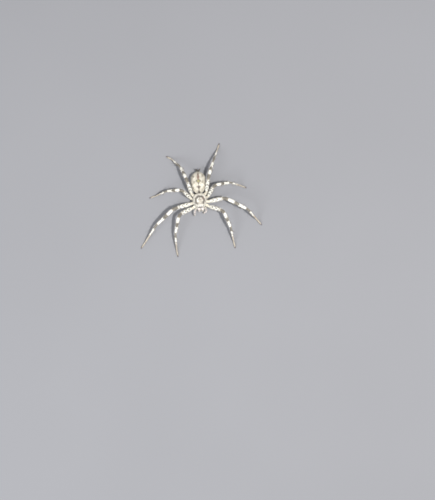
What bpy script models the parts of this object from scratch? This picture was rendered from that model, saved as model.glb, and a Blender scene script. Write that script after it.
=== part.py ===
"""A huntsman spider at life size, standing flat on its eight feet.

Sizes are in millimetres until a mesh is made, where MM turns them into metres. +Z is up,
the head points roughly along -Y and the spider's own left side is +X. The front body and
the abdomen each have a plan frame of their own, a few degrees off the Y axis. A leg is a
chain of plan lengths and headings from its coxa, with a height for each joint. At the end
the whole model is moved, so that the origin is the middle of its box at the soles' level.
"""

import math
import random
from collections import namedtuple

import bmesh
import bpy
import numpy as np
from mathutils import Vector

# Scale, and the gap that two touching pieces keep between their facing sides
MM = 0.001
GAP = 0.3
EYE_GAP = 0.1

# Front body: carapace above, sternum below, coxae between them
PROSOMA_HEADING = -83.0
CARAPACE_MARGIN_HEIGHT = 4.5
CARAPACE_EDGE_DEPTH = 0.12
CARAPACE_POWER = 0.82
CARAPACE_SIDES = 22
# Distance ahead of the middle, half width, top above the margin
CARAPACE_STATIONS = (
    (-3.95, 1.30, 0.55),
    (-3.60, 2.20, 0.90),
    (-2.90, 3.10, 1.35),
    (-1.90, 3.68, 1.70),
    (-0.60, 3.92, 1.92),
    (0.70, 3.74, 2.05),
    (1.80, 3.28, 2.12),
    (2.60, 2.86, 2.10),
    (3.20, 2.60, 1.95),
    (3.60, 2.42, 1.65),
    (3.82, 2.25, 1.25),
    (3.90, 2.05, 0.85),
)
STERNUM_HALF_WIDTH = 1.75
STERNUM_HALF_LENGTH = 2.45
STERNUM_AHEAD = -0.1
STERNUM_UNDERSIDE = 2.25
STERNUM_TOP = 4.05
STERNUM_SIDES = 24
LABIUM_LENGTH = 0.75
LABIUM_HALF_WIDTH = 0.34
LABIUM_HEIGHT = 2.6
LABIUM_FLATNESS = 0.8
MOUTHPART_SIDES = 8
MAXILLA_START = (0.95, 2.78, 2.85)
MAXILLA_END = (0.80, 4.25, 2.60)
MAXILLA_HALF_WIDTH = 0.43
MAXILLA_FLATNESS = 1.25
PEDICEL_HALF_WIDTH = 0.5
PEDICEL_HEIGHT = 3.5

# Eyes: two rows of four. Distance from the midline, distance ahead, radius, and for the
# front row the height above the carapace margin
FRONT_EYES = {"median": (0.36, 0.78, 0.21), "lateral": (1.02, 0.74, 0.29)}
REAR_EYES = {"median": (0.46, 3.18, 0.22), "lateral": (1.50, 2.98, 0.28)}
FRONT_EYE_AHEAD = 3.90
EYE_SUNK = 0.35

# Jaws: each chelicera slopes forward and down from under the eyes to its fang
CHELICERA_ROOT = (0.95, 4.2, 4.40)
CHELICERA_TIP = (0.90, 5.70, 2.55)
CHELICERA_HALF_WIDTH = 0.82
CHELICERA_FLATNESS = 1.06
CHELICERA_BOW = 0.12
CHELICERA_SIDES = 12
CHELICERA_PROFILE = ((0.0, 0.84), (0.12, 0.98), (0.35, 1.0), (0.65, 0.92), (0.88, 0.74), (1.0, 0.56))
FANG_ROOT_HALF_WIDTH = 0.27
FANG_LENGTH = 1.35
FANG_CURL = 80.0

# Palps, as joints in the front body's frame: left, ahead, up
PALPS = {
    "left": (
        (1.62, 3.42, 3.05), (2.85, 4.80, 4.70), (3.00, 5.60, 4.50), (2.50, 6.65, 3.30), (1.00, 7.00, 1.75),
    ),
    "right": (
        (1.62, 3.42, 3.05), (2.95, 4.65, 4.75), (3.30, 5.45, 4.65), (3.75, 6.60, 3.60), (3.95, 7.90, 1.60),
    ),
}
PALP_HALF_WIDTH = 0.42
PALP_BOW = 0.12

# Abdomen: an egg, blunt behind, with the spinnerets under its end
ABDOMEN_FRONT = (-0.40, 4.12)
ABDOMEN_LENGTH = 11.6
ABDOMEN_HEADING = 94.6
ABDOMEN_HALF_WIDTH = 4.15
ABDOMEN_RISE = 2.7
ABDOMEN_DROP = 2.3
ABDOMEN_FRONT_TAPER = 0.85
ABDOMEN_WIDEST = 0.6
ABDOMEN_PLAN_POWER = 2.6
# How blunt the two ends are, less is blunter
ABDOMEN_FRONT_BLUNTNESS = 0.36
ABDOMEN_REAR_BLUNTNESS = 0.46
ABDOMEN_STATIONS = (0.008, 0.035, 0.08, 0.15, 0.25, 0.37, 0.50, 0.63, 0.75, 0.85, 0.925, 0.97, 0.992)
ABDOMEN_AXIS = ((0.0, 3.70), (0.25, 4.05), (0.6, 4.1), (1.0, 3.5))
ABDOMEN_SIDES = 24
SPINNERET_MOUND = 0.72
SPINNERET_MOUND_LENGTH = 0.55
SPINNERET_MOUND_FLATNESS = 0.85
SPINNERET_SHIFT = 0.3
SPINNERET_SPACING = 0.28
SPINNERET_SUNK = 0.4
# Sideways lean in degrees, drop in degrees, length, half width, distance below the mound's middle
SPINNERETS = ((30.0, 4.0, 1.45, 0.23, -0.12), (17.0, 22.0, 1.05, 0.27, 0.30), (7.0, 10.0, 0.55, 0.17, 0.05))

# Legs: coxae fan out from the sternum's edge, the same on both sides
# Angle round the sternum from its front, then the coxa's far end: left, ahead
COXAE = {1: (50.0, 4.00, 3.40), 2: (80.0, 4.50, 1.00), 3: (110.0, 4.50, -1.50), 4: (142.0, 4.00, -3.80)}
COXA_HEIGHT = 3.15
TROCHANTER_LENGTH = 0.9
TROCHANTER_RISE = 0.2
SOLE_HEIGHT = 0.36
# Femur, patella, tibia, metatarsus, tarsus: heading in degrees, plan length, height of the far joint
LEG_PLANS = {
    "leg_1_left": (
        (-18, 6.8, 7.2), (-42, 2.2, 7.9), (-66, 9.1, 5.8), (-78, 7.7, 1.05), (-76, 3.1, SOLE_HEIGHT),
    ),
    "leg_2_left": (
        (11, 7.6, 7.6), (-13, 2.5, 8.5), (-27, 12.2, 8.7), (-46, 7.9, 1.35), (-48, 3.1, SOLE_HEIGHT),
    ),
    "leg_3_left": (
        (60, 5.2, 6.9), (36, 2.1, 7.8), (10, 7.7, 6.0), (-14, 6.1, 1.05), (-21, 2.8, SOLE_HEIGHT),
    ),
    "leg_4_left": (
        (82, 6.8, 7.2), (76, 2.3, 7.7), (74, 7.6, 5.7), (71, 7.4, 1.05), (74, 2.9, SOLE_HEIGHT),
    ),
    "leg_1_right": (
        (-153, 6.7, 7.2), (-126, 2.3, 7.9), (-101, 9.5, 4.8), (-86, 8.7, 0.95), (-79, 3.3, SOLE_HEIGHT),
    ),
    "leg_2_right": (
        (-163, 7.7, 7.2), (-155, 2.5, 8.0), (-137, 12.6, 5.4), (-124, 11.0, 0.95), (-124, 3.7, SOLE_HEIGHT),
    ),
    "leg_3_right": (
        (137, 5.0, 6.9), (161, 2.1, 7.8), (-176, 7.4, 5.5), (-158, 6.8, 1.0), (-162, 2.9, SOLE_HEIGHT),
    ),
    "leg_4_right": (
        (109, 6.4, 7.0), (112, 2.3, 7.6), (117, 6.9, 5.2), (137, 6.6, 1.0), (153, 3.0, SOLE_HEIGHT),
    ),
}
LEG_THICKNESS = {1: 1.0, 2: 1.06, 3: 0.92, 4: 0.97}
LEG_SIDES = 10
FEMUR_BOW = 0.45
TIBIA_BOW = 0.2
METATARSUS_BOW = 0.3
# Share of the length, half thickness
COXA_PROFILE = ((0.0, 0.46), (0.30, 0.62), (0.60, 0.80), (0.86, 0.90), (0.97, 0.74))
TROCHANTER_PROFILE = ((0.25, 0.84), (0.70, 0.88), (1.0, 0.76))
FEMUR_PROFILE = ((0.0, 0.80), (0.12, 0.96), (0.35, 1.06), (0.62, 1.02), (0.86, 0.92), (1.0, 0.80))
PATELLA_PROFILE = ((0.0, 0.76), (0.40, 0.92), (0.88, 0.86))
TIBIA_PROFILE = ((0.04, 0.76), (0.16, 0.88), (0.45, 0.86), (0.75, 0.76), (0.93, 0.72), (1.0, 0.62))
METATARSUS_PROFILE = ((0.0, 0.56), (0.10, 0.60), (0.45, 0.52), (0.85, 0.46), (0.97, 0.40))
TARSUS_PROFILE = ((0.06, 0.40), (0.40, 0.44), (0.72, 0.47), (0.90, 0.42), (1.0, 0.20))
PALP_FEMUR_PROFILE = ((0.0, 0.80), (0.25, 0.95), (0.65, 1.0), (1.0, 0.85))
PALP_PATELLA_PROFILE = ((0.0, 0.88), (0.45, 1.0))
PALP_TIBIA_PROFILE = ((0.06, 0.90), (0.50, 0.98))
PALP_TARSUS_PROFILE = ((0.10, 0.88), (0.45, 0.96), (0.80, 0.78), (1.0, 0.35))
CLAW_LENGTH = 0.75
CLAW_HALF_WIDTH = 0.16

# Spines: stiff bristles that lean towards the foot, in rows along each length of a leg
SPINE_LENGTH = 2.2
SPINE_HALF_WIDTH = 0.25
SPINE_TIP_HALF_WIDTH = 0.06
SPINE_SUNK = 0.4
SPINE_LEAN = 40.0
SPINE_SPREAD = 6.0
# Angle round the leg, 90 on top, and shares of the length
FEMUR_SPINES = ((90, (0.32, 0.60)), (32, (0.46, 0.76)), (148, (0.46, 0.76)))
TIBIA_SPINES = (
    (88, (0.52,)),
    (14, (0.30, 0.66)),
    (166, (0.34, 0.70)),
    (-52, (0.20, 0.56)),
    (-128, (0.20, 0.56)),
)
METATARSUS_SPINES = ((28, (0.14, 0.44)), (152, (0.18, 0.48)), (-40, (0.30,)), (-140, (0.30,)))

# Where the lean of an end face fades out, in half widths from the end
LEAN_REACH = 2.2

# Finishes: sRGB hex, roughness
FINISHES = {
    "carapace": ("#D9CFB6", 0.62),
    "abdomen": ("#D6CDA9", 0.70),
    "underside": ("#C9BEA4", 0.65),
    "coxa": ("#E2DAC6", 0.60),
    "femur": ("#E9E5DA", 0.60),
    "tibia": ("#BDB2A0", 0.60),
    "metatarsus": ("#C6B69C", 0.62),
    "palp": ("#DDD3BF", 0.60),
    "chelicera": ("#DCC9B4", 0.45),
    "fang": ("#2A1510", 0.25),
    "eye": ("#14100E", 0.10),
    "spinneret": ("#6E6353", 0.70),
}

Station = namedtuple("Station", "centre tangent half_width rise drop power")


def heading(degrees):
    """The level unit vector at an angle counted from +X towards +Y."""
    angle = math.radians(degrees)
    return Vector((math.cos(angle), math.sin(angle), 0.0))


UP = Vector((0.0, 0.0, 1.0))
FORWARD = heading(PROSOMA_HEADING)
LEFT = heading(PROSOMA_HEADING + 90.0)
BACKWARD = heading(ABDOMEN_HEADING)


def in_prosoma(left, ahead, height):
    """A point of the front body's frame: left of its midline, ahead of its middle, above the ground."""
    return LEFT * left + FORWARD * ahead + UP * height


def between(knots, share):
    """The value at a share of a length, from (share, value) knots."""
    return float(np.interp(share, [knot[0] for knot in knots], [knot[1] for knot in knots]))


def signed_power(value, power):
    return math.copysign(abs(value) ** power, value)


def linear_colour(srgb_hex):
    """An sRGB hex colour as linear RGBA."""
    channels = [int(srgb_hex[i : i + 2], 16) / 255 for i in (1, 3, 5)]
    linear = [c / 12.92 if c <= 0.04045 else ((c + 0.055) / 1.055) ** 2.4 for c in channels]
    return (*linear, 1.0)


def finish_material(name, finish):
    colour, roughness = FINISHES[finish]
    material = bpy.data.materials.new(name)
    material.use_nodes = True
    shader = material.node_tree.nodes["Principled BSDF"]
    shader.inputs["Base Color"].default_value = linear_colour(colour)
    shader.inputs["Roughness"].default_value = roughness
    shader.inputs["Metallic"].default_value = 0.0
    return material


def ring_points(station, sides):
    """A closed ring round a station, in the plane across its tangent."""
    across = station.tangent.cross(UP).normalized()
    above = across.cross(station.tangent).normalized()
    points = []
    for k in range(sides):
        angle = math.tau * k / sides
        sideways = station.half_width * signed_power(math.cos(angle), station.power)
        height = station.rise if math.sin(angle) > 0 else station.drop
        upwards = height * signed_power(math.sin(angle), station.power)
        points.append(station.centre + across * sideways + above * upwards)
    return points


def leaned(ring, station, end, normal):
    """The ring slid along its tangent towards the plane of an end face, less with distance from it."""
    share = 1.0 - (station.centre - end.centre).length / (LEAN_REACH * end.half_width)
    if share <= 0.0:
        return ring
    slope = station.tangent.dot(normal)
    return [p - station.tangent * (share * (p - station.centre).dot(normal) / slope) for p in ring]


def limb_rings(stations, sides, start_normal=None, end_normal=None):
    """Rings along a limb. An end with a normal gets a flat face across that normal."""
    rings = []
    for station in stations:
        ring = ring_points(station, sides)
        if start_normal is not None:
            ring = leaned(ring, station, stations[0], start_normal)
        if end_normal is not None:
            ring = leaned(ring, station, stations[-1], end_normal)
        rings.append(ring)
    return rings


def build_mesh(name, rings):
    """A closed mesh lofted through rings of equal count, with its faces pointing out."""
    shape = bmesh.new()
    loops = [[shape.verts.new(point * MM) for point in ring] for ring in rings]
    for lower, upper in zip(loops, loops[1:]):
        for k in range(len(lower)):
            after = (k + 1) % len(lower)
            shape.faces.new((lower[k], lower[after], upper[after], upper[k]))
    shape.faces.new(reversed(loops[0]))
    shape.faces.new(loops[-1])
    bmesh.ops.recalc_face_normals(shape, faces=shape.faces)
    mesh = bpy.data.meshes.new(name)
    shape.to_mesh(mesh)
    shape.free()
    return mesh


def smooth(mesh):
    mesh.shade_smooth()
    mesh.set_sharp_from_angle(angle=math.radians(50))


def add_object(name, rings, finish):
    """A lofted node with its own material."""
    mesh = build_mesh(name, rings)
    mesh.materials.append(finish_material(name, finish))
    smooth(mesh)
    piece = bpy.data.objects.new(name, mesh)
    bpy.context.collection.objects.link(piece)
    return piece


def ball_rings(centre, radius, sides=8, bands=5):
    """Rings of a ball about a level axis, closed at each end by a small ring."""
    rings = []
    for band in range(bands + 1):
        angle = math.pi * (0.06 + 0.88 * band / bands)
        reach = radius * math.sin(angle)
        middle = centre - FORWARD * (radius * math.cos(angle))
        rings.append(ring_points(Station(middle, FORWARD, reach, reach, reach, 1.0), sides))
    return rings


def straight_stations(start, end, profile, half_width, flatness=1.0, bow=0.0):
    """Stations on a bowed line, with the half thickness that a profile gives along it."""
    return [limb_station(start, end, bow, share, half_width * width, flatness) for share, width in profile]


def limb_station(start, end, bow, share, half_width, flatness=1.0):
    """A station at a share of the way along a line that bows upwards in its middle."""
    centre = start.lerp(end, share) + UP * (4.0 * bow * share * (1.0 - share))
    tangent = (end - start + UP * (4.0 * bow * (1.0 - 2.0 * share))).normalized()
    return Station(centre, tangent, half_width, half_width * flatness, half_width * flatness, 1.0)


def join_pieces(piece, extras, operation="UNION"):
    """Fuses or cuts a node with a list of rings, each a closed mesh, and keeps its largest surface."""
    helpers = bpy.data.collections.new(piece.name + "_extras")
    bpy.context.scene.collection.children.link(helpers)
    for number, rings in enumerate(extras):
        mesh = build_mesh(f"{piece.name}_extra_{number}", rings)
        helpers.objects.link(bpy.data.objects.new(mesh.name, mesh))
    modifier = piece.modifiers.new("join", "BOOLEAN")
    modifier.operation = operation
    modifier.operand_type = "COLLECTION"
    modifier.collection = helpers
    modifier.solver = "EXACT"
    graph = bpy.context.evaluated_depsgraph_get()
    joined = bpy.data.meshes.new_from_object(piece.evaluated_get(graph))
    piece.modifiers.remove(modifier)
    joined.materials.clear()
    joined.materials.append(piece.data.materials[0])
    piece.data = joined
    for helper in list(helpers.objects):
        bpy.data.objects.remove(helper)
    bpy.data.collections.remove(helpers)
    keep_largest(joined)
    smooth(joined)


def keep_largest(mesh):
    """Deletes every closed surface of a mesh but the one of the largest area."""
    shape = bmesh.new()
    shape.from_mesh(mesh)
    unseen = set(shape.faces)
    islands = []
    while unseen:
        island = [unseen.pop()]
        for face in island:
            for edge in face.edges:
                fresh = [other for other in edge.link_faces if other in unseen]
                unseen.difference_update(fresh)
                island.extend(fresh)
        islands.append(island)
    islands.sort(key=lambda island: sum(face.calc_area() for face in island))
    scraps = [face for island in islands[:-1] for face in island]
    bmesh.ops.delete(shape, geom=scraps, context="FACES")
    shape.to_mesh(mesh)
    shape.free()


def carapace_top(left, ahead):
    """The height of the carapace at a point of its plan."""
    half_width = between([(s[0], s[1]) for s in CARAPACE_STATIONS], ahead)
    rise = between([(s[0], s[2]) for s in CARAPACE_STATIONS], ahead)
    cosine = (abs(left) / half_width) ** (1.0 / CARAPACE_POWER)
    return CARAPACE_MARGIN_HEIGHT + rise * (1.0 - cosine**2) ** (CARAPACE_POWER / 2.0)


def carapace_normal(left, ahead, step=0.15):
    """The direction out of the carapace at a point of its plan, from the slopes beside it."""
    sideways = (carapace_top(left + step, ahead) - carapace_top(left - step, ahead)) / (2 * step)
    lengthways = (carapace_top(left, ahead + step) - carapace_top(left, ahead - step)) / (2 * step)
    return (UP - LEFT * sideways - FORWARD * lengthways).normalized()


def eye_places():
    """Each eye's name with its centre and radius, sunk a little way into the head."""
    places = {}
    for side, sign in (("left", 1), ("right", -1)):
        for name, (left, height, radius) in FRONT_EYES.items():
            centre = in_prosoma(sign * left, FRONT_EYE_AHEAD, CARAPACE_MARGIN_HEIGHT + height)
            places[f"eye_front_{name}_{side}"] = (centre - FORWARD * (EYE_SUNK * radius), radius)
        for name, (left, ahead, radius) in REAR_EYES.items():
            surface = in_prosoma(sign * left, ahead, carapace_top(sign * left, ahead))
            normal = carapace_normal(sign * left, ahead)
            places[f"eye_rear_{name}_{side}"] = (surface - normal * (EYE_SUNK * radius), radius)
    return places


def build_head():
    """The carapace with its eye sockets, and the eyes in them."""
    rings = []
    for ahead, half_width, rise in CARAPACE_STATIONS:
        centre = in_prosoma(0.0, ahead, CARAPACE_MARGIN_HEIGHT)
        station = Station(centre, FORWARD, half_width, rise, CARAPACE_EDGE_DEPTH, CARAPACE_POWER)
        rings.append(ring_points(station, CARAPACE_SIDES))
    carapace = add_object("carapace", rings, "carapace")
    eyes = eye_places()
    sockets = [ball_rings(centre, radius + EYE_GAP) for centre, radius in eyes.values()]
    join_pieces(carapace, sockets, operation="DIFFERENCE")
    for name, (centre, radius) in eyes.items():
        add_object(name, ball_rings(centre, radius), "eye")


def sternum_edge(degrees, grow=0.0):
    """A point of the sternum's outline in plan, left and ahead, at an angle from its front."""
    angle = math.radians(degrees)
    left = (STERNUM_HALF_WIDTH + grow) * math.sin(angle)
    ahead = STERNUM_AHEAD + (STERNUM_HALF_LENGTH + grow) * math.cos(angle)
    return left, ahead


def sternum_normal(degrees):
    """The level direction out of the sternum's edge, in the front body's frame."""
    angle = math.radians(degrees)
    left = math.sin(angle) / STERNUM_HALF_WIDTH
    ahead = math.cos(angle) / STERNUM_HALF_LENGTH
    return (LEFT * left + FORWARD * ahead).normalized()


def build_underside():
    """The sternum, labium, maxillae and pedicel."""
    levels = ((STERNUM_UNDERSIDE, -0.45), (STERNUM_UNDERSIDE + 0.2, 0.0), (STERNUM_TOP, 0.0))
    rings = []
    for height, grow in levels:
        angles = [360.0 * k / STERNUM_SIDES for k in range(STERNUM_SIDES)]
        rings.append([in_prosoma(*sternum_edge(angle, grow), height) for angle in angles])
    add_object("sternum", rings, "underside")

    labium_start = STERNUM_AHEAD + STERNUM_HALF_LENGTH + GAP
    start = in_prosoma(0.0, labium_start, LABIUM_HEIGHT)
    end = in_prosoma(0.0, labium_start + LABIUM_LENGTH, LABIUM_HEIGHT)
    profile = ((0.0, 0.9), (0.4, 1.0), (0.8, 0.75), (1.0, 0.45))
    stations = straight_stations(start, end, profile, LABIUM_HALF_WIDTH, LABIUM_FLATNESS)
    add_object("labium", limb_rings(stations, MOUTHPART_SIDES), "underside")

    profile = ((0.0, 0.75), (0.2, 0.98), (0.6, 1.0), (0.88, 0.75), (1.0, 0.45))
    for side, sign in (("left", 1), ("right", -1)):
        start = in_prosoma(sign * MAXILLA_START[0], *MAXILLA_START[1:])
        end = in_prosoma(sign * MAXILLA_END[0], *MAXILLA_END[1:])
        stations = straight_stations(start, end, profile, MAXILLA_HALF_WIDTH, MAXILLA_FLATNESS)
        add_object(f"maxilla_{side}", limb_rings(stations, MOUTHPART_SIDES), "underside")

    start = in_prosoma(0.0, STERNUM_AHEAD - STERNUM_HALF_LENGTH - GAP, PEDICEL_HEIGHT)
    end = Vector((*ABDOMEN_FRONT, PEDICEL_HEIGHT + 0.1)) - BACKWARD * GAP
    profile = ((0.0, 1.0), (0.5, 0.85), (1.0, 1.1))
    stations = straight_stations(start, end, profile, PEDICEL_HALF_WIDTH)
    add_object("pedicel", limb_rings(stations, MOUTHPART_SIDES), "underside")


def fang_rings(root, outwards, sideways):
    """A fang that leaves its jaw along outwards and curls back towards the midline."""
    rings = []
    steps = 6
    centre = root.copy()
    backwards = (sideways * 0.75 - FORWARD * 0.6).normalized()
    for step in range(steps + 1):
        share = step / steps
        turn = math.radians(FANG_CURL) * share
        tangent = (outwards * math.cos(turn) + backwards * math.sin(turn)).normalized()
        half_width = FANG_ROOT_HALF_WIDTH * (1.0 - 0.86 * share**1.2)
        rings.append(ring_points(Station(centre, tangent, half_width, half_width, half_width, 1.0), 7))
        centre = centre + tangent * (FANG_LENGTH / steps)
    return rings


def build_jaws():
    """The two chelicerae and their fangs."""
    for side, sign in (("left", 1), ("right", -1)):
        root = in_prosoma(sign * CHELICERA_ROOT[0], *CHELICERA_ROOT[1:])
        tip = in_prosoma(sign * CHELICERA_TIP[0], *CHELICERA_TIP[1:])
        stations = straight_stations(
            root, tip, CHELICERA_PROFILE, CHELICERA_HALF_WIDTH, CHELICERA_FLATNESS, CHELICERA_BOW
        )
        rings = limb_rings(stations, CHELICERA_SIDES, start_normal=FORWARD)
        add_object(f"chelicera_{side}", rings, "chelicera")
        outwards = stations[-1].tangent
        start = stations[-1].centre + outwards * GAP
        add_object(f"fang_{side}", fang_rings(start, outwards, LEFT * -sign), "fang")


def build_palps():
    """Each palp in two nodes: its femur, and the rest out to the tip."""
    for side, joints in PALPS.items():
        sign = 1 if side == "left" else -1
        root, knee, patella_end, tibia_end, tip = [in_prosoma(sign * p[0], p[1], p[2]) for p in joints]
        upper = straight_stations(root, knee, PALP_FEMUR_PROFILE, PALP_HALF_WIDTH, 1.0, PALP_BOW)
        first = (knee - root).normalized()
        second = (patella_end - knee).normalized()
        middle = (first + second).normalized()
        upper[-1] = upper[-1]._replace(centre=knee - first * (GAP / 2 / first.dot(middle)))
        add_object(
            f"palp_{side}_femur",
            limb_rings(upper, LEG_SIDES, start_normal=LEFT * sign, end_normal=middle),
            "palp",
        )
        start = knee + second * (GAP / 2 / second.dot(middle))
        lower = straight_stations(start, patella_end, PALP_PATELLA_PROFILE, PALP_HALF_WIDTH)
        lower += straight_stations(patella_end, tibia_end, PALP_TIBIA_PROFILE, PALP_HALF_WIDTH)
        lower += straight_stations(tibia_end, tip, PALP_TARSUS_PROFILE, PALP_HALF_WIDTH)
        add_object(f"palp_{side}_tarsus", limb_rings(lower, LEG_SIDES, start_normal=middle), "palp")


def abdomen_share(share):
    """How wide the abdomen is at a share of its length, next to its widest."""
    taper = ABDOMEN_FRONT_TAPER + (1.0 - ABDOMEN_FRONT_TAPER) * min(1.0, share / ABDOMEN_WIDEST)
    bluntness = ABDOMEN_FRONT_BLUNTNESS if share < 0.5 else ABDOMEN_REAR_BLUNTNESS
    return taper * (1.0 - abs(2.0 * share - 1.0) ** ABDOMEN_PLAN_POWER) ** bluntness


def build_abdomen():
    """The abdomen and the spinnerets behind it."""
    front = Vector((*ABDOMEN_FRONT, 0.0))
    rings = []
    for share in ABDOMEN_STATIONS:
        centre = front + BACKWARD * (ABDOMEN_LENGTH * share) + UP * between(ABDOMEN_AXIS, share)
        width = abdomen_share(share)
        station = Station(
            centre, BACKWARD, ABDOMEN_HALF_WIDTH * width, ABDOMEN_RISE * width, ABDOMEN_DROP * width, 0.95
        )
        rings.append(ring_points(station, ABDOMEN_SIDES))
    add_object("abdomen", rings, "abdomen")

    base = front + BACKWARD * (ABDOMEN_LENGTH * ABDOMEN_STATIONS[-1] + GAP) + UP * ABDOMEN_AXIS[-1][1]
    sideways = heading(ABDOMEN_HEADING - 90.0)
    base += sideways * SPINNERET_SHIFT
    end = base + BACKWARD * SPINNERET_MOUND_LENGTH
    profile = ((0.0, 1.0), (0.5, 0.95), (1.0, 0.7))
    stations = straight_stations(base, end, profile, SPINNERET_MOUND, SPINNERET_MOUND_FLATNESS)
    mound = add_object("spinnerets", limb_rings(stations, LEG_SIDES), "spinneret")
    cones = []
    for lean, drop, length, half_width, below in SPINNERETS:
        for sign in (1, -1):
            aim = heading(ABDOMEN_HEADING - sign * lean) - UP * math.tan(math.radians(drop))
            aim.normalize()
            start = end - BACKWARD * SPINNERET_SUNK + sideways * (sign * SPINNERET_SPACING) - UP * below
            taper = ((0.0, 1.0), (0.6, 0.9), (0.92, 0.7), (1.0, 0.4))
            stations = straight_stations(start, start + aim * (length + SPINNERET_SUNK), taper, half_width)
            cones.append(limb_rings(stations, 6))
    join_pieces(mound, cones)


def leg_joints(name):
    """The joints of a leg: coxa root, coxa end, trochanter end, then each plan joint to the tip."""
    _, number, side = name.split("_")
    sign = 1 if side == "left" else -1
    angle, left, ahead = COXAE[int(number)]
    root_left, root_ahead = sternum_edge(angle, GAP)
    joints = [
        in_prosoma(sign * root_left, root_ahead, COXA_HEIGHT),
        in_prosoma(sign * left, ahead, COXA_HEIGHT),
    ]
    first_heading = LEG_PLANS[name][0][0]
    joints.append(joints[-1] + heading(first_heading) * TROCHANTER_LENGTH + UP * TROCHANTER_RISE)
    for degrees, length, height in LEG_PLANS[name]:
        reached = joints[-1] + heading(degrees) * length
        reached.z = height
        joints.append(reached)
    return joints


def joint_normal(before, joint, after):
    """The direction across the facing ends of two lengths of a leg."""
    return ((joint - before).normalized() + (after - joint).normalized()).normalized()


def shortened(joint, towards, normal):
    """A joint moved back along its length by half the gap that it shares."""
    direction = (towards - joint).normalized()
    return joint + direction * (GAP / 2 / abs(direction.dot(normal)))


def pressed_flat(rings):
    """The rings with nothing below the ground, so that the sole gets a flat."""
    return [[Vector((p.x, p.y, max(p.z, 0.0))) for p in ring] for ring in rings]


def claw_rings(tip, aim, sideways, sign):
    """One claw: a hook from the end of the foot, out and down to just above the ground."""
    across = sideways * sign
    start = tip - aim * 0.35 + across * 0.13
    middle = tip + aim * (CLAW_LENGTH * 0.55) + across * 0.2 + UP * 0.12
    end = tip + aim * CLAW_LENGTH + across * 0.24 - UP * (tip.z - 0.1)
    half_widths = (CLAW_HALF_WIDTH, CLAW_HALF_WIDTH * 0.8, CLAW_HALF_WIDTH * 0.3)
    stations = []
    for centre, tangent, half_width in zip(
        (start, middle, end), (middle - start, end - start, end - middle), half_widths
    ):
        stations.append(Station(centre, tangent.normalized(), half_width, half_width, half_width, 1.0))
    return limb_rings(stations, 5)


def spine_rings(station, angle, length):
    """One spine: a straight taper, rooted in the leg at an angle round it."""
    across = station.tangent.cross(UP).normalized()
    above = across.cross(station.tangent).normalized()
    outwards = across * math.cos(math.radians(angle)) + above * math.sin(math.radians(angle))
    lean = math.radians(SPINE_LEAN)
    aim = (outwards * math.cos(lean) + station.tangent * math.sin(lean)).normalized()
    surface = station.centre + outwards * station.half_width
    ends = ((surface - aim * SPINE_SUNK, SPINE_HALF_WIDTH), (surface + aim * length, SPINE_TIP_HALF_WIDTH))
    return limb_rings([Station(centre, aim, width, width, width, 1.0) for centre, width in ends], 5)


def spines_along(start, end, bow, profile, size, rows, chance):
    """The spines of one length of a leg, each a little out of line with its row."""
    spines = []
    for angle, shares in rows:
        for share in shares:
            share += chance.uniform(-0.03, 0.03)
            station = limb_station(start, end, bow, share, size * between(profile, share))
            length = SPINE_LENGTH * size * chance.uniform(0.86, 1.1)
            spines.append(spine_rings(station, angle + chance.uniform(-SPINE_SPREAD, SPINE_SPREAD), length))
    return spines


def build_leg(name):
    """A leg in four nodes: coxa with trochanter, femur, patella with tibia, metatarsus with tarsus."""
    number = int(name.split("_")[1])
    sign = 1 if name.endswith("left") else -1
    size = LEG_THICKNESS[number]
    chance = random.Random(name)
    root, coxa_end, hip, knee, patella_end, ankle, metatarsus_end, tip = leg_joints(name)
    root_normal = sternum_normal(COXAE[number][0])
    if sign < 0:
        root_normal = root_normal - LEFT * (2.0 * root_normal.dot(LEFT))
    hip_normal = joint_normal(coxa_end, hip, knee)
    knee_normal = joint_normal(hip, knee, patella_end)
    ankle_normal = joint_normal(patella_end, ankle, metatarsus_end)

    stations = straight_stations(root, coxa_end, COXA_PROFILE, size)
    stations += straight_stations(coxa_end, shortened(hip, coxa_end, hip_normal), TROCHANTER_PROFILE, size)
    rings = limb_rings(stations, LEG_SIDES, start_normal=root_normal, end_normal=hip_normal)
    add_object(f"{name}_coxa", rings, "coxa")

    start = shortened(hip, knee, hip_normal)
    end = shortened(knee, hip, knee_normal)
    stations = straight_stations(start, end, FEMUR_PROFILE, size, 1.0, FEMUR_BOW)
    rings = limb_rings(stations, LEG_SIDES, start_normal=hip_normal, end_normal=knee_normal)
    femur = add_object(f"{name}_femur", rings, "femur")
    join_pieces(femur, spines_along(start, end, FEMUR_BOW, FEMUR_PROFILE, size, FEMUR_SPINES, chance))

    start = shortened(knee, patella_end, knee_normal)
    end = shortened(ankle, patella_end, ankle_normal)
    stations = straight_stations(start, patella_end, PATELLA_PROFILE, size)
    stations += straight_stations(patella_end, end, TIBIA_PROFILE, size, 1.0, TIBIA_BOW)
    rings = limb_rings(stations, LEG_SIDES, start_normal=knee_normal, end_normal=ankle_normal)
    tibia = add_object(f"{name}_tibia", rings, "tibia")
    join_pieces(tibia, spines_along(patella_end, end, TIBIA_BOW, TIBIA_PROFILE, size, TIBIA_SPINES, chance))

    start = shortened(ankle, metatarsus_end, ankle_normal)
    stations = straight_stations(start, metatarsus_end, METATARSUS_PROFILE, size, 1.0, METATARSUS_BOW)
    stations += straight_stations(metatarsus_end, tip, TARSUS_PROFILE, size)
    rings = pressed_flat(limb_rings(stations, LEG_SIDES, start_normal=ankle_normal))
    foot = add_object(f"{name}_tarsus", rings, "metatarsus")
    aim = heading(LEG_PLANS[name][-1][0])
    sideways = aim.cross(UP)
    extras = [claw_rings(tip, aim, sideways, side) for side in (1, -1)]
    extras += spines_along(
        start, metatarsus_end, METATARSUS_BOW, METATARSUS_PROFILE, size, METATARSUS_SPINES, chance
    )
    join_pieces(foot, extras)


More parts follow.
